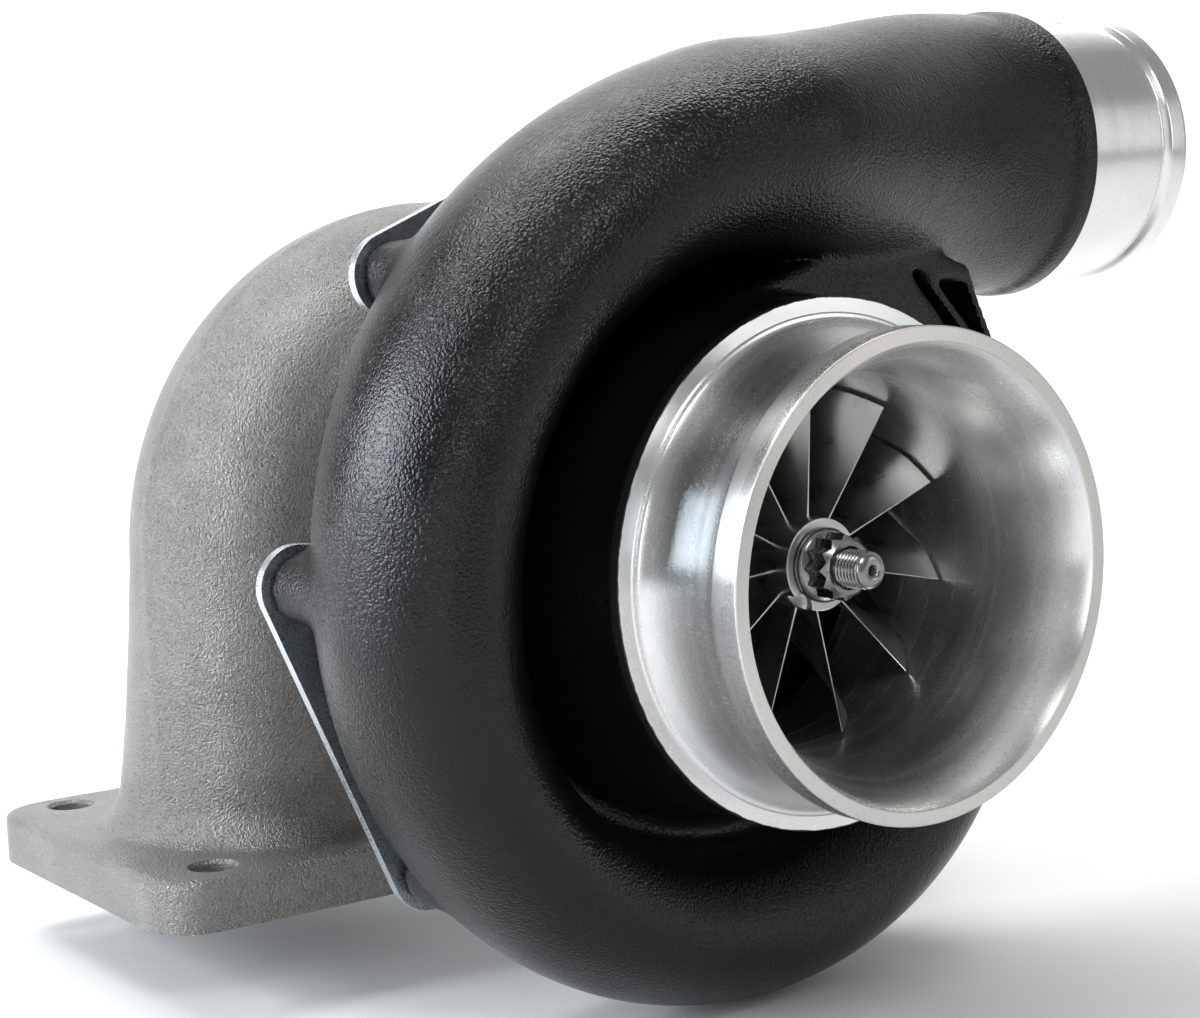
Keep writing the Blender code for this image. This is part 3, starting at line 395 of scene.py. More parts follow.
def floor_material():
    material, tree, shader, where = start_material("studio_paper", 0.0)
    cloud = noise(tree, where, 300.0, 2.0)
    colour = ramp(tree, cloud, ((0.3, (0.75, 0.75, 0.75)), (0.7, (0.77, 0.77, 0.77))))
    finish_shader(tree, shader, colour, spread(tree, cloud, 0.3, 0.7, 0.8, 0.9))
    return material


BLACK = black_coating()
INLET = machined_aluminium("machined_inlet", (0.80, 0.80, 0.79), 0.26, 0.75, 0.012,
                           edge_paint_r=56.6, faced_to=0.35)
OUTLET = machined_aluminium("machined_outlet", (0.86, 0.85, 0.83), 0.24, 0.5, 0.004)
PLATE = machined_aluminium("machined_plate", (0.70, 0.70, 0.69), 0.26)
MILLED = milled_aluminium()
IRON = cast_iron("turbine_iron", (0.305, 0.293, 0.277), (0.18, 0.172, 0.161))
DARK_IRON = cast_iron("centre_iron", (0.20, 0.19, 0.18), (0.11, 0.105, 0.10), 0.8)
CUT_IRON = cast_iron("machined_iron", (0.46, 0.45, 0.43), (0.36, 0.35, 0.33), machined=True)
ZINC = plain_metal("zinc_plate", (0.68, 0.73, 0.76), (0.55, 0.61, 0.65), 0.3, 0.5, 0.003)
STEEL = plain_metal("fastener_steel", (0.27, 0.268, 0.265), (0.18, 0.178, 0.175), 0.24, 0.5, 0.004)
STUD = plain_metal("stud_steel", (0.34, 0.33, 0.315), (0.24, 0.233, 0.222), 0.24, 0.5, 0.003)
GROUND = plain_metal("ground_steel", (0.55, 0.54, 0.52), (0.44, 0.43, 0.42), 0.22, 0.25, 0.004)
NICKEL = plain_metal("nickel_alloy", (0.36, 0.335, 0.31), (0.25, 0.235, 0.22), 0.36, 0.5, 0.03)
BRONZE = plain_metal("bearing_bronze", (0.66, 0.43, 0.20), (0.50, 0.31, 0.13), 0.3)
STAINLESS = plain_metal("stainless", (0.56, 0.54, 0.50), (0.44, 0.42, 0.39), 0.32)
RUBBER = rubber_material()


# ---- pieces

def add_object(name, data):
    made = bpy.data.objects.new(name, data)
    bpy.context.scene.collection.objects.link(made)
    return made


def make_piece(name, verts, faces, material, body, replaced=(), place=None, sharp=35.0,
               smooth_passes=0):
    """A mesh drawn in millimetres about the datum, riding on a body and taking nodes' places."""
    mesh = bpy.data.meshes.new(name)
    mesh.from_pydata((np.asarray(verts) * MM).tolist(), [], [list(map(int, f)) for f in faces])
    bm = bmesh.new()
    bm.from_mesh(mesh)
    bmesh.ops.remove_doubles(bm, verts=bm.verts, dist=0.000001)
    bmesh.ops.recalc_face_normals(bm, faces=bm.faces)
    bm.to_mesh(mesh)
    bm.free()
    mesh.shade_smooth()
    mesh.set_sharp_from_angle(angle=math.radians(sharp))
    mesh.materials.append(material)
    piece = add_object(name, mesh)
    piece.matrix_world = Matrix.Translation(DATUM) @ (place or Matrix.Identity(4))
    if smooth_passes:
        smoothing = piece.modifiers.new("Smooth", "SMOOTH")
        smoothing.factor = 0.5
        smoothing.iterations = smooth_passes
    if body:
        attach(piece, body)
        if replaced:
            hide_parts(*replaced)
    return piece


def apply_modifiers(piece):
    depsgraph = bpy.context.evaluated_depsgraph_get()
    depsgraph.update()
    mesh = bpy.data.meshes.new_from_object(piece.evaluated_get(depsgraph))
    piece.modifiers.clear()
    piece.data = mesh


def cut_away(piece, cutters, solver="MANIFOLD", operation="DIFFERENCE"):
    """Cut a piece with each cutter (or join them, or keep what they share), then drop them."""
    for cutter in cutters:
        cut = piece.modifiers.new(cutter.name, "BOOLEAN")
        cut.solver = solver
        cut.operation = operation
        cut.object = cutter
    apply_modifiers(piece)
    for cutter in cutters:
        bpy.data.objects.remove(cutter)
    piece.data.shade_smooth()
    piece.data.set_sharp_from_angle(angle=math.radians(35))


def bevel_edges(piece, width, angle):
    """Bevel the edges sharper than an angle in degrees."""
    edge = piece.modifiers.new("Bevel", "BEVEL")
    edge.width = width * MM
    edge.segments = 2
    edge.limit_method = "ANGLE"
    edge.angle_limit = math.radians(angle)


def weigh_normals(piece):
    piece.modifiers.new("Weighted", "WEIGHTED_NORMAL").keep_sharp = True


def rounded(profile):
    """An outline of (radius, y) or (radius, y, bevel) points with its bevelled corners curved."""
    outline = []
    for i, point in enumerate(profile):
        here = np.array(point[:2], float)
        if len(point) == 2:
            outline.append(tuple(here))
            continue
        before = np.array(profile[i - 1][:2], float) - here
        after = np.array(profile[(i + 1) % len(profile)][:2], float) - here
        first = here + before / np.linalg.norm(before) * point[2]
        last = here + after / np.linalg.norm(after) * point[2]
        for t in np.linspace(0, 1, CORNER_STEPS + 1):
            outline.append(tuple((1 - t) ** 2 * first + 2 * t * (1 - t) * here + t ** 2 * last))
    return outline


def lathe_mesh(profile, steps, centre=(0.0, 0.0, 0.0)):
    """An outline of (radius, y) points carried right round the Y axis through `centre`."""
    rings = np.array(rounded(profile))
    turns = np.linspace(0, math.tau, steps, endpoint=False)
    radius, along = rings[:, 0][None, :], rings[:, 1][None, :]
    x = np.cos(turns)[:, None] * radius
    z = np.sin(turns)[:, None] * radius
    verts = np.stack((x, np.broadcast_to(along, x.shape), z), -1).reshape(-1, 3) + np.array(centre)
    count = len(rings)
    faces = []
    for i in range(steps):
        near, far = i * count, (i + 1) % steps * count
        for j in range(count):
            k = (j + 1) % count
            on_axis = rings[j][0] < 1e-6 and rings[k][0] < 1e-6
            if not on_axis:
                faces.append([near + j, near + k, far + k, far + j])
    return verts, faces


def lathe(name, profile, material, body, replaced=(), place=None):
    verts, faces = lathe_mesh(profile, TURN_STEPS)
    piece = make_piece(name, verts, faces, material, body, replaced, place)
    weigh_normals(piece)
    return piece


def turned_cutter(profile, steps, centre=(0.0, 0.0, 0.0), place=None):
    """A tool for cut_away, turned about a line along Y."""
    verts, faces = lathe_mesh(profile, steps, centre)
    return make_piece("cutter", verts, faces, STEEL, None, place=place)


def upright_cutter(profile, steps, x, y):
    """A tool for cut_away, turned about a line along Z."""
    spot = Matrix.Translation(Vector((x, y, 0)) * MM)
    return turned_cutter(profile, steps, place=spot @ Matrix.Rotation(math.pi / 2, 4, "X"))


def on_circle(radius, angle, y):
    return (radius * math.cos(math.radians(angle)), y, radius * math.sin(math.radians(angle)))


def quarter_oval(start, end, count):
    """Points on a quarter oval that leaves `start` along Y and arrives at `end` square to it."""
    return [(end[0] - (end[0] - start[0]) * math.cos(t), start[1] + (end[1] - start[1]) * math.sin(t))
            for t in np.linspace(0, math.pi / 2, count)]


def prism(corners, start, end):
    """Corners round the Y axis, carried along it."""
    count = len(corners)
    verts = [(x, y, z) for y in (start, end) for x, _, z in corners]
    sides = [(i, (i + 1) % count, count + (i + 1) % count, count + i) for i in range(count)]
    return verts, sides + [tuple(range(count)), tuple(range(count, 2 * count))]


def tube_faces(rings, around):
    """Faces between rings of points, left open at both ends."""
    return [(i * around + j, i * around + (j + 1) % around, (i + 1) * around + (j + 1) % around,
             (i + 1) * around + j) for i in range(rings - 1) for j in range(around)]


# ---- distance fields

def ease(share):
    """Go from 0 to 1 with a slow start and end."""
    share = np.clip(share, 0, 1)
    return share * share * (3 - 2 * share)


def smooth_union(first, second, blend):
    share = np.clip(0.5 + 0.5 * (second - first) / blend, 0, 1)
    return second + (first - second) * share - blend * share * (1 - share)


def smooth_cut(solid, hole, blend):
    return -smooth_union(-solid, hole, blend)


def read_table(table, at, window):
    """A table of (position, value) pairs, read with its corners eased over `window`."""
    positions, values = zip(*table)
    fine = np.arange(positions[0] - window, positions[-1] + window + 1, 1.0)
    before = values[0] + ((fine - positions[0]) * (values[1] - values[0])
                          / (positions[1] - positions[0]))
    after = values[-1] + ((fine - positions[-1]) * (values[-1] - values[-2])
                          / (positions[-1] - positions[-2]))
    level = np.where(fine < positions[0], before,
                     np.where(fine > positions[-1], after, np.interp(fine, positions, values)))
    eased = np.convolve(level, np.ones(window) / window, "same")
    return np.interp(at, fine, eased)


def oval_distance(across, along, half_across, half_along):
    """Roughly the distance to an oval, negative inside it."""
    level = np.sqrt((across / half_across) ** 2 + (along / half_along) ** 2) + 1e-4
    slope = np.sqrt((across / half_across ** 2) ** 2 + (along / half_along ** 2) ** 2) + 1e-4
    return (level - 1) * level / slope


def outline_distance(profile, across, along):
    """The distance to a closed outline, negative inside it."""
    nearest = np.full(across.shape, 1e9, np.float32)
    inside = np.zeros(across.shape, bool)
    for (x0, y0), (x1, y1) in zip(profile, profile[1:] + profile[:1]):
        ex, ey = x1 - x0, y1 - y0
        share = np.clip(((across - x0) * ex + (along - y0) * ey) / (ex * ex + ey * ey), 0, 1)
        gap = (across - x0 - ex * share) ** 2 + (along - y0 - ey * share) ** 2
        nearest = np.minimum(nearest, gap)
        if ey:
            crosses = (y0 > along) != (y1 > along)
            inside ^= crosses & (across < x0 + ex * (along - y0) / ey)
    return np.where(inside, -1, 1) * np.sqrt(nearest)


def bar_distance(x, y, z, centre, radius, start, end):
    """A round bar along Y."""
    round_part = np.hypot(x - centre[0], z - centre[1]) - radius
    return np.maximum(round_part, np.maximum(start - y, y - end))


def plate_distance(x, y, z, middle, half, corner, edge):
    """A rounded rectangle in X and Y made thick in Z, with its edges rounded."""
    qx = np.abs(x - middle[0]) - (half[0] - corner)
    qy = np.abs(y - middle[1]) - (half[1] - corner)
    outline = np.hypot(np.maximum(qx, 0), np.maximum(qy, 0))
    outline = outline + np.minimum(np.maximum(qx, qy), 0) - corner
    flat = np.abs(z - middle[2]) - half[2]
    a, b = outline + edge, flat + edge
    return np.minimum(np.maximum(a, b), 0) + np.hypot(np.maximum(a, 0), np.maximum(b, 0)) - edge


def grid_over(low, high, step):
    axes = [np.arange(a, b + step, step, dtype=np.float32) for a, b in zip(low, high)]
    return np.meshgrid(*axes, indexing="ij")


def skin_of(field, low, step):
    """The surface where a grid of distances is zero."""
    grid = openvdb.FloatGrid(float(step * 20))
    grid.copyFromArray(np.ascontiguousarray(field, dtype=np.float32))
    points, quads = grid.convertToQuads(0.0)
    return points * step + np.array(low), quads


def cast_piece(name, field_of, low, high, step, material, replaced):
    """A casting skinned from its distance field, sampled between two corners of a box."""
    x, y, z = grid_over(low, high, step)
    verts, faces = skin_of(field_of(x, y, z), low, step)
    piece = make_piece(name, verts, faces, material, HOUSINGS, replaced, sharp=180.0,
                       smooth_passes=5)
    apply_modifiers(piece)
    return piece


# ---- compressor cover

def turn_from_right(x, z):
    """Degrees clockwise from +X, seen from the mouth, with its jump above the outlet duct."""
    return np.mod(-np.degrees(np.arctan2(z, x)) + 65, 360) - 65


def scroll_field(x, y, z, grow=0.0):
    """The compressor scroll, which grows from its small end and straightens into the duct."""
    radius = np.hypot(x, z)
    turn = turn_from_right(x, z)
    at = np.clip(turn, -40, 270)
    outer = read_table(SCROLL_OUTER_R, at, 30)
    inner = read_table(SCROLL_INNER_R, at, 30)
    front = read_table(SCROLL_FRONT_Y, at, 30)
    body = oval_distance(radius - (outer + inner) / 2, y - (SCROLL_BACK_Y + front) / 2,
                         (outer - inner) / 2, (SCROLL_BACK_Y - front) / 2) + grow
    small_end = np.maximum(body, np.radians(-40 - turn) * radius)
    duct = duct_field(x, y, z, grow)
    straight = ease((x + 20) / 34)
    top = body * (1 - straight) + duct * straight
    beside_duct = smooth_union(small_end, np.maximum(duct, -x), 5.0)
    return np.where(turn > 200, top, np.where(turn < 60, beside_duct, body))


def duct_field(x, y, z, grow=0.0):
    """The outlet duct: oval where it leaves the scroll, and round at the outlet."""
    share = np.clip((x - DUCT_START_X) / (OUTLET_CENTRE[0] - 16 - DUCT_START_X), 0, 1)
    eased = ease(share)
    late = ease((share - 0.35) / 0.65)
    top, low, front = SCROLL_OUTER_R[-1][1], SCROLL_INNER_R[-1][1], SCROLL_FRONT_Y[-1][1]
    middle_z = (top + low) / 2
    high = (top - low) / 2 + (DUCT_END_R - (top - low) / 2) * eased
    front_y = front + (OUTLET_CENTRE[1] - DUCT_END_R - front) * eased
    back_y = SCROLL_BACK_Y + (OUTLET_CENTRE[1] + DUCT_END_R - SCROLL_BACK_Y) * late
    deep, centre_y = (back_y - front_y) / 2, (back_y + front_y) / 2
    centre_z = middle_z + (OUTLET_CENTRE[2] - middle_z) * eased
    return oval_distance(y - centre_y, z - centre_z, deep, high) + grow


def along_outlet(x, y, z):
    """Distance along the outlet's axis, and out from it."""
    dx, dy, dz = x - OUTLET_CENTRE[0], y - OUTLET_CENTRE[1], z - OUTLET_CENTRE[2]
    cos, sin = math.cos(OUTLET_TILT), math.sin(OUTLET_TILT)
    return dx * cos + dz * sin, np.hypot(dy, dz * cos - dx * sin)


def cover_field(x, y, z):
    radius = np.hypot(x, z)
    outline = [(46, 30.8), (56.4, 30.8), (COLLAR_R, 40), (57.5, 62), (61, 72), (67, 76), (80, 77),
               (89.5, 78), (89.5, COVER_BACK_Y), (46, COVER_BACK_Y)]
    body = outline_distance(outline, radius, y)
    reach, out = along_outlet(x, y, z)
    shape = scroll_field(x, y, z)
    collar = np.maximum(out - OUTLET_CAST_R, np.maximum(-5 - reach, reach - 9))
    shape = smooth_union(shape, collar, 2.0)
    shape = np.where(reach > 2.5, np.maximum(shape, reach - 2.5), shape)
    for angle in COVER_BOLTS:
        bx, _, bz = on_circle(CLAMP_CIRCLE_R, angle, 0)
        boss = bar_distance(x, y, z, (bx, bz), BOSS_R, 75, CLAMP_Y - 0.3)
        shape = np.where(boss < 25, smooth_union(shape, boss, 2.0), shape)
    shape = smooth_union(shape, body, 7.0)
    web = np.maximum(outline_distance(TONGUE_WEB, x, z), np.maximum(TONGUE_WEB_Y - y, y - 84))
    shape = smooth_union(shape, web, 2.0)
    for pocket in TONGUE_POCKETS:
        hollow = np.maximum(outline_distance(pocket, x, z), y - TONGUE_WEB_Y - 9)
        shape = smooth_cut(shape, hollow, 1.0)
    turn = turn_from_right(x, z)
    into = np.where(turn < 60, np.where(z > 45, -99, 99), np.radians(228 - turn) * radius)
    channel = np.maximum(scroll_field(x, y, z, COVER_WALL), np.maximum(into, reach - 2))
    channel = np.minimum(channel, np.maximum(out - 30.4, -12 - reach))
    shape = np.maximum(shape, -channel)
    inside = [(0, 20), (51, 20), (51, 60), (60, 80), (76.9, 83.5), (76.9, 88), (REGISTER_R, 88),
              (REGISTER_R, 120), (0, 120)]
    shape = np.maximum(shape, -outline_distance(inside, radius, y))
    behind = (y > COVER_BACK_Y) & (radius < REGISTER_R)
    return np.where(behind, np.maximum(shape, y - COVER_BACK_Y), shape)


def bell_points():
    """From the mouth down the bell, then along the shroud over the blades."""
    start = 0.5
    across = (MOUTH_BORE_R - SHROUD_R) / (1 - math.sin(start))
    bell = [(MOUTH_BORE_R - across * (math.sin(t) - math.sin(start)),
             BELL_DEPTH * (1 - math.cos(t) / math.cos(start)))
            for t in np.linspace(start, math.pi / 2, 22)]
    shroud = quarter_oval((SHROUD_R, SHROUD_START_Y), (SHROUD_END_R, DIFFUSER_Y), 18)
    return bell + shroud


def inlet_machined():
    """The bright turned inlet: bell, shroud over the blades, lip, hose groove and collar."""
    outline = [(MOUTH_BORE_R + 0.15, 0, 0.1)] + bell_points()[1:] + [
        (76.8, DIFFUSER_Y), (76.8, 80.5), (56, 77), (50, 60), (50, 32.2), (56.85, 32.2),
        (56.85, COLLAR_Y, 0.25), (53.6, COLLAR_Y, 0.15), (53.35, COLLAR_Y - 0.35, 0.2),
        (52.4, COLLAR_Y - 0.5, 0.4), (51.4, 28.0), (50.4, 25.6), (49.3, 22), (48.6, 18),
        (48.2, 14), (48.2, 11), (48.5, 9), (49.3, 8.1), (MOUTH_LIP_R, LIP_Y, 0.3),
        (MOUTH_LIP_R, 0, 0.5)]
    lathe("inlet_machined", outline, INLET, HOUSINGS)


def outlet_place():
    """Turns the lathe's Y axis along the outlet, from the rim where the casting ends."""
    along = Matrix.Rotation(-math.pi / 2, 4, "Z")
    tilt = Matrix.Rotation(-OUTLET_TILT, 4, "Y")
    return Matrix.Translation(Vector(OUTLET_CENTRE) * MM) @ tilt @ along


def outlet_machined():
    """The bright hose stub: plain cylinder, fine groove, and a raised polished band at its end."""
    end = OUTLET_LENGTH
    pipe = OUTLET_PIPE_R
    outline = [(OUTLET_BORE_R, -2), (OUTLET_BORE_R, end - 1.2), (OUTLET_BORE_R + 0.9, end, 0.3),
               (pipe + 0.3, end, 0.5), (33.0, end - 1.3, 0.5), (33.0, end - 6.6, 0.6),
               (pipe - 0.15, end - 7.9, 0.2), (pipe - 0.15, end - 8.5, 0.15), (pipe, end - 8.9, 0.1),
               (pipe, 1.6), (pipe + 0.3, 0.7), (OUTLET_CAST_R - 0.45, 0.3, 0.2),
               (OUTLET_CAST_R - 0.2, 0.05), (OUTLET_CAST_R - 0.4, -2)]
    lathe("outlet_machined", outline, OUTLET, HOUSINGS, place=outlet_place())


def compressor_cover():
    piece = cast_piece("compressor_casting", cover_field, (-116, 20, -116), (110, 124, 128),
                       COVER_STEP, BLACK, ("compressor_housing",))
    cutters = [turned_cutter([(0, 88), (3.4, 88), (3.4, 99), (0, 99)], 24,
                             on_circle(CLAMP_CIRCLE_R, angle, 0)) for angle in COVER_BOLTS]
    cutters.append(turned_cutter([(0, 0), (45, 0), (45, 14), (0, 14)], 96, place=outlet_place()))
    cut_away(piece, cutters)
    inlet_machined()
    outlet_machined()


# ---- clamps, bolts, back plate

def plate_from(name, outline, front, thickness, material, replaced, holes):
    """A flat plate across the shaft, with round holes and its edges bevelled."""
    bm = bmesh.new()
    verts = [bm.verts.new((x * MM, front * MM, z * MM)) for x, z in outline]
    face = bm.faces.new(verts)
    grown = bmesh.ops.extrude_face_region(bm, geom=[face])
    moved = [v for v in grown["geom"] if isinstance(v, bmesh.types.BMVert)]
    bmesh.ops.translate(bm, verts=moved, vec=(0, thickness * MM, 0))
    bmesh.ops.recalc_face_normals(bm, faces=bm.faces)
    mesh = bpy.data.meshes.new(name)
    bm.to_mesh(mesh)
    bm.free()
    piece = add_object(name, mesh)
    piece.location = DATUM
    mesh.materials.append(material)
    cut_away(piece, holes)
    bevel_edges(piece, 0.3, 50)
    weigh_normals(piece)
    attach(piece, HOUSINGS)
    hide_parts(*replaced)


def arc(centre, radius, start, end, count):
    return [(centre[0] + radius * math.cos(a), centre[1] + radius * math.sin(a))
            for a in np.radians(np.linspace(start, end, count))]


def clamp_outline(angles):
    first, last = angles[0], angles[-1]
    straight = (first + last) / 2
    ends = [on_circle(CLAMP_CIRCLE_R, a, 0) for a in (first, last)]
    start, finish = (ends[0][0], ends[0][2]), (ends[1][0], ends[1][2])
    if len(angles) == 1:
        outline = arc(start, CLAMP_LOBE_R, first - 90, first + 90, 25)
    else:
        outline = arc(start, CLAMP_LOBE_R, first - 90, straight, 18)
        outline += arc(finish, CLAMP_LOBE_R, straight, last + 90, 18)
    margin = math.degrees(CLAMP_LOBE_R / CLAMP_CIRCLE_R)
    return outline + arc((0, 0), 78, last + margin, first - margin, 5 + 12 * len(angles))


def hole_cutter(circle_r, angle, start, end, radius):
    return turned_cutter([(0, start), (radius, start), (radius, end), (0, end)], 32,
                         on_circle(circle_r, angle, 0))


def bolt_mesh(name, head_r, height, shank_r, shank, washer_r, material):
    """A flanged hexagon bolt: seat at y = 0, head towards +Y and shank towards -Y."""
    verts, faces = prism([on_circle(head_r, 60 * i, 0) for i in range(6)], 0.4, height)
    head = make_piece(name, verts, faces, material, None)
    crown = turned_cutter([(0, 0), (head_r * 1.02, 0), (head_r * 1.02, height - 1.1),
                           (head_r * 0.86, height), (0, height)], 48)
    cut_away(head, [crown], "EXACT", "INTERSECT")
    rest = turned_cutter([(0, -shank), (shank_r - 0.4, -shank), (shank_r, -shank + 0.4), (shank_r, 0),
                          (washer_r, 0, 0.2), (washer_r, 0.8, 0.2), (head_r * 0.98, 1.3), (0, 1.3)], 48)
    cut_away(head, [rest], "EXACT", "UNION")
    bevel_edges(head, 0.18, 40)
    apply_modifiers(head)
    mesh = head.data
    mesh.shade_smooth()
    mesh.set_sharp_from_angle(angle=math.radians(40))
    bpy.data.objects.remove(head)
    return mesh


def place_bolts(name, mesh, circle_r, angles, seat_y, facing=1):
    for number, angle in enumerate(angles, 1):
        bolt = add_object(f"{name}_detail_{number}", mesh)
        spot = Vector(on_circle(circle_r, angle, seat_y)) * MM
        facing_turn = Matrix.Rotation(0 if facing > 0 else math.pi, 4, "Z")
        spin = Matrix.Rotation(math.radians(angle * 3 + 17 * number), 4, "Y")
        bolt.matrix_world = Matrix.Translation(DATUM + spot) @ facing_turn @ spin
        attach(bolt, HOUSINGS)
        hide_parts(f"{name}_{number}")


def clamps_and_bolts():
    for number, angles in enumerate(COVER_CLAMPS, 1):
        holes = [hole_cutter(CLAMP_CIRCLE_R, a, CLAMP_Y - 5, CLAMP_Y + 9, 3.4) for a in angles]
        plate_from(f"clamp_plate_detail_{number}", clamp_outline(angles), CLAMP_Y,
                   CLAMP_THICKNESS, ZINC, (f"clamp_plate_{number}",), holes)
    cover_bolt = bolt_mesh("cover_bolt_mesh", 5.5, 5.0, 3.0, 11.5, 6.8, ZINC)
    place_bolts("cover_bolt", cover_bolt, CLAMP_CIRCLE_R, COVER_BOLTS,
                CLAMP_Y + CLAMP_THICKNESS + 0.1)
    plate_bolt = bolt_mesh("back_plate_bolt_mesh", 5.5, 4.6, 3.0, 9.5, 6.6, STEEL)
    place_bolts("back_plate_bolt", plate_bolt, BACK_PLATE_BOLT_R, BACK_PLATE_BOLTS, 101.6)
    turbine_bolt = bolt_mesh("turbine_bolt_mesh", 4.8, 4.0, 2.5, 7.5, 5.8, STEEL)
    place_bolts("turbine_bolt", turbine_bolt, TURBINE_BOLT_R, TURBINE_BOLTS, 147.2,
                -1)
    for number, angles in enumerate(TURBINE_CLAMPS, 1):
        low, high = angles[0] - 8, angles[-1] + 8
        outline = arc((0, 0), 58.5, low, high, 40) + arc((0, 0), 43.5, high, low, 40)
        holes = [hole_cutter(TURBINE_BOLT_R, a, 140, 156, 2.9) for a in angles]
        plate_from(f"turbine_clamp_detail_{number}", outline, 147.3, 2.4, STAINLESS,
                   (f"turbine_clamp_{number}",), holes)


def back_plate():
    outline = [(9.6, 88.3), (83.9, 88.3, 0.4), (83.9, 90, 0.2), (81.4, 90), (81.4, 92.4),
               (83.9, 92.4, 0.2), (83.9, 93.8, 0.5), (72, 93.8, 0.3), (71.4, 93.2), (66, 93.2),
               (65.4, 93.8, 0.3), (20, 93.8), (20, 97.5, 0.3), (9.6, 97.5, 0.3)]
    lathe("back_plate_detail", outline, PLATE, HOUSINGS, ("back_plate",))


# ---- centre housing

def centre_field(x, y, z):
    radius = np.hypot(x, z)
    outline = [(9.9, 106), (24, 106), (24, 94.1), (62, 94.1), (62, 101), (36, 103), (30, 109), (30, 138),
               (35, 144), (39, 150.3), (47, 150.3), (47, 157), (36, 157), (36, 163), (9.9, 163)]
    shape = outline_distance(outline, radius, y)
    feed = plate_distance(x, y, z, (0, OIL_Y, 27.5), (15, 15, 12.5), 6, 0.6)
    drain = plate_distance(x, y, z, (0, OIL_Y, -33.5), (24, 15, 12.5), 7, 0.6)
    shape = smooth_union(shape, feed, 5.0)
    shape = smooth_union(shape, drain, 5.0)
    for angle in BACK_PLATE_BOLTS:
        bx, _, bz = on_circle(BACK_PLATE_BOLT_R, angle, 0)
        boss = bar_distance(x, y, z, (bx, bz), 8.2, 96, 101.4)
        shape = smooth_union(shape, boss, 2.0)
    upper = np.where(z > 20, z - 40, -99)
    lower = np.where(z < -20, -46 - z, -99)
    shape = np.maximum(shape, np.maximum(upper, lower))
    shape = np.maximum(shape, 94.1 - y)
    return np.maximum(shape, 9.9 - radius)


def centre_housing():
    piece = cast_piece("bearing_housing_casting", centre_field, (-66, 90, -66), (66, 167, 66),
                       CENTRE_STEP, DARK_IRON, ("bearing_housing",))
    cut_away(piece, [upright_cutter([(0, low), (radius, low), (radius, high), (0, high)], 32, x, OIL_Y)
                     for x, radius, low, high in OIL_HOLES])


# ---- rotor

def blade_grid(root, tip, angle_of, thickness, stations, spans):
    """The two sides of a blade, thickest at its root and thin at its edges."""
    sides = []
    for side in (-1, 1):
        grid = []
        for i in range(stations):
            share = i / (stations - 1)
            (root_r, root_y), (tip_r, tip_y) = root(share), tip(share)
            row = []
            for j in range(spans):
                out = j / (spans - 1)
                radius = root_r + (tip_r - root_r) * out
                y = root_y + (tip_y - root_y) * out
                swing = math.degrees(side * thickness(share, out) / 2 / radius)
                row.append(on_circle(radius, angle_of(share, out) + swing, y))
            grid.append(row)
        sides.append(grid)
    return np.array(sides)


def blade_faces(stations, spans, start):
    """Faces of one closed blade whose points are numbered from `start`, side by side."""
    def number(side, i, j):
        return start + (side * stations + i) * spans + j

    faces = []
    for i in range(stations - 1):
        for j in range(spans - 1):
            faces.append((number(0, i, j), number(0, i + 1, j), number(0, i + 1, j + 1),
                          number(0, i, j + 1)))
            faces.append((number(1, i, j), number(1, i, j + 1), number(1, i + 1, j + 1),
                          number(1, i + 1, j)))
    for i in range(stations - 1):
        for j in (0, spans - 1):
            faces.append((number(0, i, j), number(1, i, j), number(1, i + 1, j), number(0, i + 1, j)))
    for j in range(spans - 1):
        for i in (0, stations - 1):
            faces.append((number(0, i, j), number(0, i, j + 1), number(1, i, j + 1), number(1, i, j)))
    return faces


def blade_wheel(name, hub, blades, grid, material, replaced):
    """Blades set round a turned hub, or round the axis alone."""
    verts, faces, count = [], [], 0
    if hub:
        hub_verts, hub_faces = lathe_mesh(hub, TURN_STEPS)
        verts, faces, count = [hub_verts], list(hub_faces), len(hub_verts)
    _, stations, spans, _ = grid.shape
    flat = grid.reshape(-1, 3)
    for number in range(blades):
        turn = math.tau * number / blades
        cos, sin = math.cos(turn), math.sin(turn)
        x = flat[:, 0] * cos - flat[:, 2] * sin
        z = flat[:, 0] * sin + flat[:, 2] * cos
        verts.append(np.stack((x, flat[:, 1], z), -1))
        faces += blade_faces(stations, spans, count)
        count += len(flat)
    make_piece(name, np.concatenate(verts), faces, material, ROTOR, replaced)


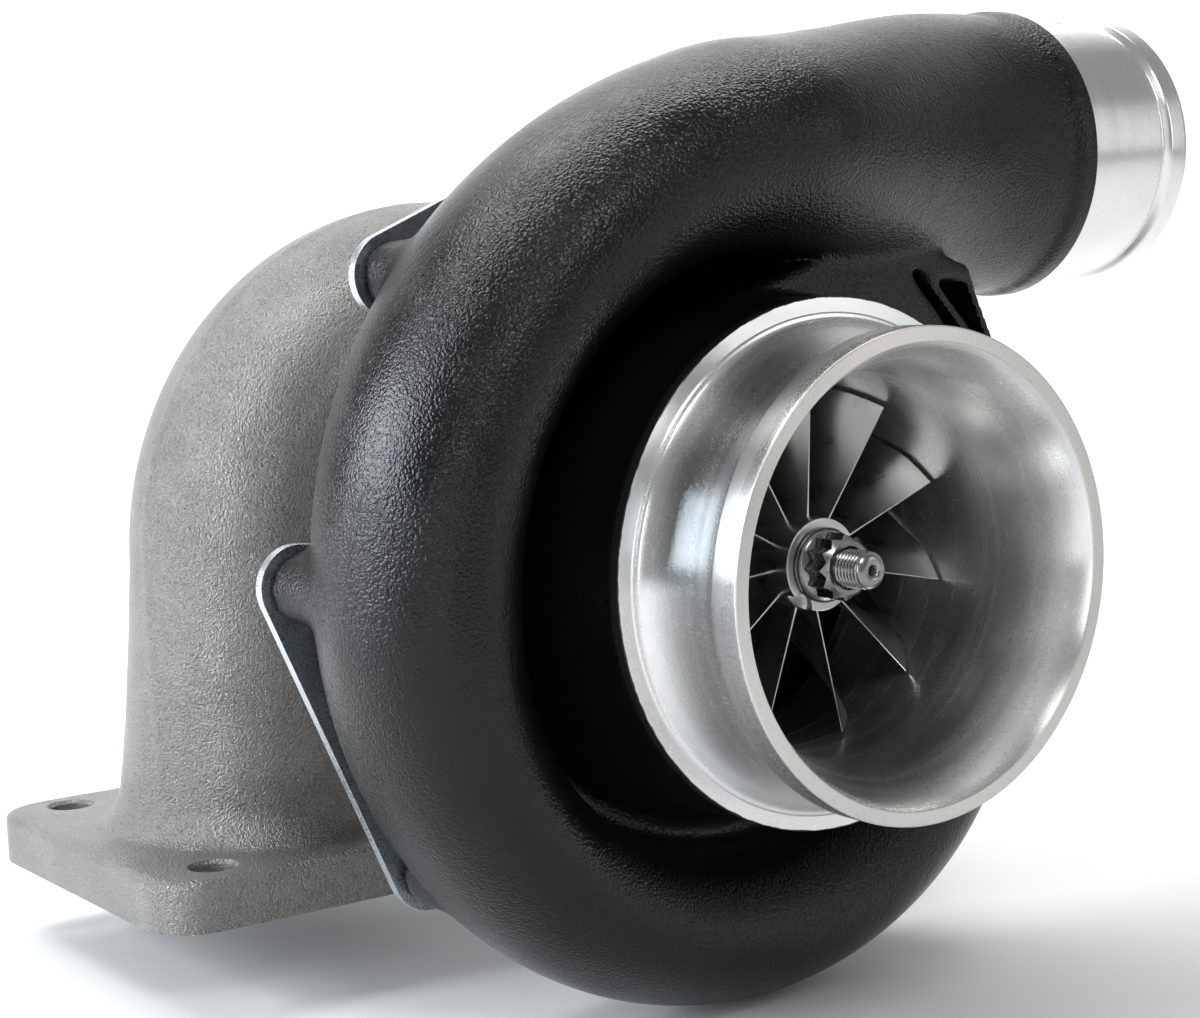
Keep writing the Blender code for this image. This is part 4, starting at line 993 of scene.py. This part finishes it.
def compressor_wheel():
    hub_curve = quarter_oval((NOSE_R + 0.1, INDUCER_Y - 1), (EXDUCER_R, WHEEL_BACK_Y - 2.5), 26)
    hub = [(4.3, NOSE_Y), (NOSE_R, NOSE_Y, 0.3)] + hub_curve
    hub += [(EXDUCER_R, WHEEL_BACK_Y), (30, WHEEL_BACK_Y), (9, 87.4), (8.4, 88.0), (8.4, 91.7),
            (4.3, 91.7)]

    def root(share):
        t = math.radians(90 * share)
        start_r, end_r = NOSE_R - 0.8, EXDUCER_R - 0.4
        return (end_r - (end_r - start_r) * math.cos(t),
                INDUCER_Y + (WHEEL_BACK_Y - 1 - INDUCER_Y) * math.sin(t))

    def tip(share):
        early = 0.16
        if share < early:
            return (INDUCER_R, INDUCER_Y + (SHROUD_START_Y - INDUCER_Y) * share / early)
        t = math.radians(90 * 0.965 * (share - early) / (1 - early))
        return (SHROUD_END_R - (SHROUD_END_R - INDUCER_R) * math.cos(t),
                SHROUD_START_Y + (DIFFUSER_Y + 0.8 - SHROUD_START_Y) * math.sin(t))

    def angle_of(share, out):
        """The blade turns most near its tip's leading edge, so its face curls like a scoop."""
        return FIRST_BLADE + BLADE_WRAP * (share + 0.10 * math.sin(math.pi * share) * (1 - 0.4 * out))

    def thickness(share, out):
        edge = min(1.0, 0.3 + share * 9)
        fillet = 1.3 * max(0.0, 1 - out * 7) ** 2
        return (1.15 - 0.6 * out + fillet) * edge

    grid = blade_grid(root, tip, angle_of, thickness, 30, 12)
    blade_wheel("compressor_wheel_blades", None, WHEEL_BLADES, grid, MILLED, ())
    hub_piece = lathe("compressor_wheel_hub", hub, MILLED, ROTOR,
                      ("compressor_wheel",))
    cut_x, _, cut_z = on_circle(NOSE_R + 0.9, BALANCE_CUT, 0)
    lean = (Matrix.Rotation(math.radians(-BALANCE_CUT), 4, "Y")
            @ Matrix.Rotation(math.radians(18), 4, "Z"))
    mill = turned_cutter([(0, -6), (3.1, -6), (3.1, 2.6, 0.4), (0, 2.6)], 64,
                         place=Matrix.Translation(Vector((cut_x, NOSE_Y, cut_z)) * MM) @ lean)
    cut_away(hub_piece, [mill])


def wheel_nut():
    """A twelve-point flanged nut."""
    corners = [on_circle(6.25 if i % 2 else 7.2, 15 * i, 0) for i in range(24)]
    verts, faces = prism(corners, NUT_Y, 31.4)
    nut = make_piece("wheel_nut_detail", verts, faces, STEEL, ROTOR, ("wheel_nut",))
    crown = turned_cutter([(0, NUT_Y), (5.7, NUT_Y), (6.0, NUT_Y + 0.3), (7.4, NUT_Y + 1.6), (7.4, 32),
                           (0, 32)], 64)
    cut_away(nut, [crown], "EXACT", "INTERSECT")
    flange = turned_cutter([(0, 30.6), (6.3, 30.6), (7.6, 31.3, 0.4), (8.1, 32.0, 0.3), (8.1, 33.1, 0.2),
                            (0, 33.1)], 96)
    cut_away(nut, [flange], "EXACT", "UNION")
    bore = turned_cutter([(0, 20), (4.7, 20), (4.7, NUT_Y), (4.1, NUT_Y + 0.6), (4.1, 36), (0, 36)], 64)
    cut_away(nut, [bore], "EXACT")
    bevel_edges(nut, 0.16, 38)
    nut.data.materials.clear()
    nut.data.materials.append(STEEL)


def threaded_stud():
    """The shaft's threaded front end, with a chamfer and a centre-drilled hole."""
    around = 64
    rows = np.arange(STUD_END_Y + 0.9, 33.0, THREAD_PITCH / 8)
    turns = np.linspace(0, math.tau, around, endpoint=False)
    phase = np.mod(rows[:, None] / THREAD_PITCH - turns[None, :] / math.tau, 1.0)
    ridge = 1 - np.abs(phase * 2 - 1)
    fade = np.clip((rows - STUD_END_Y - 0.9) / 0.6, 0, 1)[:, None]
    radius = STUD_R - THREAD_DEPTH * fade * (1 - np.clip(ridge * 1.4, 0, 1)) - (1 - fade) * 0.15
    lead = [(0.0, STUD_END_Y + 7.0), (1.1, STUD_END_Y + 6.4), (1.1, STUD_END_Y + 0.45),
            (1.55, STUD_END_Y), (2.6, STUD_END_Y), (3.1, STUD_END_Y + 0.2), (3.7, STUD_END_Y + 0.6)]
    verts = []
    for lead_r, lead_y in lead:
        verts += [(lead_r * math.cos(t), lead_y, lead_r * math.sin(t)) for t in turns]
    for row, y in zip(radius, rows):
        verts += [(r * math.cos(t), y, r * math.sin(t)) for r, t in zip(row, turns)]
    count = len(lead) + len(rows)
    faces = tube_faces(count, around) + [tuple((count - 1) * around + j for j in range(around))]
    make_piece("stud_thread", verts, faces, STUD, ROTOR, sharp=50.0)


def turbine_wheel():
    hub = [(0, 33.0), (3.3, 33.0), (3.3, 102.0), (5.8, 102.0), (5.8, 151.0), (9.0, 151.6), (9.0, 153.6),
           (7.2, 153.6), (7.2, 156.0), (9.0, 156.0), (9.0, 169.2), (26.5, 169.8, 0.3), (26.5, 172.0, 0.5)]
    for t in np.linspace(0.05, math.pi / 2, 20):
        hub.append((8.0 + 18.5 * (1 - math.sin(t)), 172 + 38 * (1 - math.cos(t))))
    hub += [(8.0, 213.0, 0.6), (6.6, 216.0, 0.6), (0, 216.0)]

    def root(share):
        t = math.radians(90 * share)
        return (7.4 + 18.4 * (1 - math.sin(t)), 171.5 + 38 * (1 - math.cos(t)))

    def tip(share):
        y = 173.6 + 35.9 * share
        positions, radii = zip(*TURBINE_SHROUD)
        return (float(np.interp(y, positions, radii)) - 0.9, y)

    def angle_of(share, out):
        return 77 * max(0.0, share - 0.3) ** 1.5

    def thickness(share, out):
        fillet = 1.8 * max(0.0, 1 - out * 6) ** 2
        return 2.0 - 1.0 * out + fillet

    grid = blade_grid(root, tip, angle_of, thickness, 22, 9)
    blade_wheel("turbine_wheel_cast", hub, TURBINE_BLADES, grid, NICKEL,
                ("turbine_shaft_wheel",))


# ---- turbine housing

def turbine_field(x, y, z):
    radius = np.hypot(x, z)
    turn = np.mod(180 - np.degrees(np.arctan2(z, x)) + 20, 360) - 20
    at = np.clip(turn, 0, 320)
    outer = read_table(TURBINE_OUTER_R, at, 40)
    half_r = read_table(TURBINE_HALF_R, at, 40)
    half_y = read_table(TURBINE_HALF_Y, at, 40)
    scroll_body = oval_distance(radius - (outer - half_r), y - TURBINE_Y, half_r, half_y)
    scroll = np.where(turn < 0, np.maximum(scroll_body, -z), scroll_body)
    scroll = np.where(turn > 320, np.maximum(scroll, np.radians(turn - 320) * radius), scroll)
    heights = [row[0] for row in LEG]
    middle_x, middle_y, half_x, half_y = (np.interp(z, heights, [row[i] for row in LEG])
                                          for i in (1, 2, 3, 4))
    leg_tube = oval_distance(x - middle_x, y - middle_y, half_x, half_y)
    leg = np.maximum(leg_tube, np.maximum(z - 8, -80 - z))
    body = outline_distance([(30, 150), (60, 150), (60, 168), (56, 172), (56, 192), (46, 203), (41, 210),
                             (41, 230), (30, 230)], radius, y)
    low_down = ease((14 - z) / 28)
    joined = scroll_body * (1 - low_down) + leg_tube * low_down
    shape = np.where((np.abs(z) < 14) & (turn < 60) & (x < 0), joined, smooth_union(scroll, leg, 3.0))
    shape = smooth_union(shape, body, 8.0)
    shape = np.where(z > FLANGE_TOP_Z + 6, np.maximum(shape, 150 - y), shape)
    seam = np.exp(-((y - TURBINE_Y + 2) / 1.1) ** 2) * 0.6
    shape = np.where((x < -30) | (z > 20), shape - seam, shape)
    plate = plate_distance(x, y, z, (*FLANGE_CENTRE, (FLANGE_TOP_Z + FLANGE_BOTTOM_Z) / 2 - 2),
                           (*FLANGE_HALF, (FLANGE_TOP_Z - FLANGE_BOTTOM_Z) / 2 + 2),
                           FLANGE_CORNER_R, 1.0)
    shape = smooth_union(shape, plate, 2.5)
    flange_only = np.maximum(np.abs(x - FLANGE_CENTRE[0]) - FLANGE_HALF[0],
                             np.abs(y - FLANGE_CENTRE[1]) - FLANGE_HALF[1])
    return np.maximum(shape, np.where(z < FLANGE_TOP_Z + 1, flange_only, -99))


def port_cutter(side):
    """Half of the leg's oval bore, on one side of the divider."""
    rings = []
    heights = (-95.0, -70.0, -45.0, -20.0, -1.0, 10.0)
    sizes = ((-62, 191, 24.5, 30.5), (-62, 191, 24.5, 30.5), (-62, 187, 24.5, 29), (-62, 182, 24.5, 27),
             (-62, 180.1, 24.5, 26.5), (-61, 180, 20, 22))
    for height, (x, y, half_x, half_y) in zip(heights, sizes):
        lean = math.asin(3.0 / half_y)
        turns = np.linspace(lean, math.pi - lean, 30)
        rings.append([(x + half_x * math.cos(t), y + side * half_y * math.sin(t), height) for t in turns])
    count = len(rings[0])
    verts = [p for ring in rings for p in ring]
    faces = tube_faces(len(rings), count)
    faces += [tuple(range(count)), tuple((len(rings) - 1) * count + j for j in range(count))]
    return make_piece("cutter", verts, faces, STEEL, None)


def turbine_housing():
    piece = cast_piece("turbine_casting", turbine_field, (-114, 130, -90), (78, 250, 90),
                       TURBINE_STEP, IRON, ("turbine_housing",))
    cutters = [turned_cutter([(0, 140), (48, 140), (48, 157.3), (39.2, 157.3), (39.2, 173), (46, 173),
                              (46, 187), (39, 187.5), (39, 260), (0, 260)], 128),
               port_cutter(-1), port_cutter(1)]
    hole = [(0, -95), (FLANGE_HOLE_R, -95), (FLANGE_HOLE_R, FLANGE_TOP_Z - 0.9),
            (FLANGE_HOLE_R + 0.8, FLANGE_TOP_Z + 0.1), (FLANGE_HOLE_R + 0.8, -60), (0, -60)]
    for side_x in (-1, 1):
        for side_y in (-1, 1):
            cutters.append(upright_cutter(hole, 48, FLANGE_CENTRE[0] + side_x * FLANGE_HOLES[0],
                                          FLANGE_CENTRE[1] + side_y * FLANGE_HOLES[1]))
    corners = [(x, y, z) for z in (-100, FLANGE_BOTTOM_Z)
               for x, y in ((-150, 100), (0, 100), (0, 300), (-150, 300))]
    sides = [(0, 1, 2, 3), (4, 5, 6, 7), (0, 1, 5, 4), (1, 2, 6, 5), (2, 3, 7, 6), (3, 0, 4, 7)]
    below = make_piece("cutter", corners, sides, STEEL, None)
    cut_away(piece, cutters + [below])
    turbine_outlet()


def turbine_outlet():
    """The turned outlet: V-band rim outside, and the bore round the turbine wheel inside."""
    inside = [(radius, y) for y, radius in TURBINE_SHROUD]
    outline = inside + [(33.6, 214), (37, 234), (37.4, 238, 0.3), (43, 238, 0.5), (46.5, 234.5, 0.5),
                        (46.5, 232.5, 0.5), (42.2, 229, 0.4), (42.2, 226.5, 0.4), (40.2, 226.5),
                        (40.2, 188.5), (45.9, 188.0), (45.9, 187.0)]
    lathe("turbine_outlet_machined", outline, CUT_IRON, HOUSINGS)


# ---- small inner parts

def dress_cad_nodes():
    """The parts that keep their CAD shape: bearings, rings, seals and the sleeve."""
    finishes = {"front_bearing": BRONZE, "rear_bearing": BRONZE, "thrust_bearing": BRONZE,
                "back_plate_seal": RUBBER, "heat_shield": STAINLESS, "flinger_sleeve": GROUND,
                "thrust_collar": GROUND, "compressor_seal_ring": GROUND, "turbine_seal_ring": GROUND,
                "snap_ring_1": STEEL, "snap_ring_2": STEEL, "snap_ring_3": STEEL}
    for name, material in finishes.items():
        keeper = frame["nodes"][name]
        for slot in keeper.material_slots:
            slot.material = material


# ---- studio

def area_light(name, spot, target, size, power, colour):
    data = bpy.data.lights.new(name, "AREA")
    data.shape = "RECTANGLE"
    data.size, data.size_y = size
    data.energy = power
    data.color = colour
    lamp = add_object(name, data)
    lamp.location = spot
    lamp.rotation_euler = (Vector(target) - Vector(spot)).to_track_quat("-Z", "Y").to_euler()


def studio():
    """A pale floor that sweeps up behind, a nearly white world and large soft lamps."""
    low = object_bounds()[0].z - 0.0005
    profile = [(-2.5, low), (SWEEP_START_Y, low)]
    profile += [(SWEEP_START_Y + SWEEP_R * math.sin(t), low + SWEEP_R * (1 - math.cos(t)))
                for t in np.linspace(0.1, math.pi / 2, 16)]
    profile += [(SWEEP_START_Y + SWEEP_R, low + 3.5)]
    verts = [(x, y, z) for y, z in profile for x in (-4.0, 4.0)]
    faces = [(2 * i, 2 * i + 1, 2 * i + 3, 2 * i + 2) for i in range(len(profile) - 1)]
    mesh = bpy.data.meshes.new("studio_sweep")
    mesh.from_pydata(verts, [], faces)
    mesh.shade_smooth()
    mesh.materials.append(floor_material())
    sweep = add_object("studio_sweep", mesh)
    sweep.rotation_euler.z = math.radians(SWEEP_TURN)
    world = bpy.data.worlds.new("studio_world")
    bpy.context.scene.world = world
    world.use_nodes = True
    background = world.node_tree.nodes["Background"]
    background.inputs["Color"].default_value = WORLD_COLOUR
    background.inputs["Strength"].default_value = WORLD_STRENGTH
    for lamp in LAMPS:
        area_light(*lamp)


def camera():
    """The camera stands left of the inlet, a little above the shaft."""
    data = bpy.data.cameras.new("camera")
    data.lens = CAMERA_LENS
    data.sensor_width = 36.0
    data.shift_x, data.shift_y = CAMERA_SHIFT
    data.clip_start = 0.01
    made = add_object("camera", data)
    right = Vector(CAMERA_RIGHT)
    up = Vector(CAMERA_UP)
    back = right.cross(up).normalized()
    up = back.cross(right).normalized()
    turn = Matrix((right.normalized(), up, back)).transposed().to_4x4()
    made.matrix_world = Matrix.Translation(CAMERA_SPOT) @ turn
    bpy.context.scene.camera = made


compressor_cover()
clamps_and_bolts()
back_plate()
centre_housing()
compressor_wheel()
wheel_nut()
threaded_stud()
turbine_wheel()
turbine_housing()
dress_cad_nodes()
studio()
camera()
bpy.context.scene.view_settings.view_transform = "Standard"
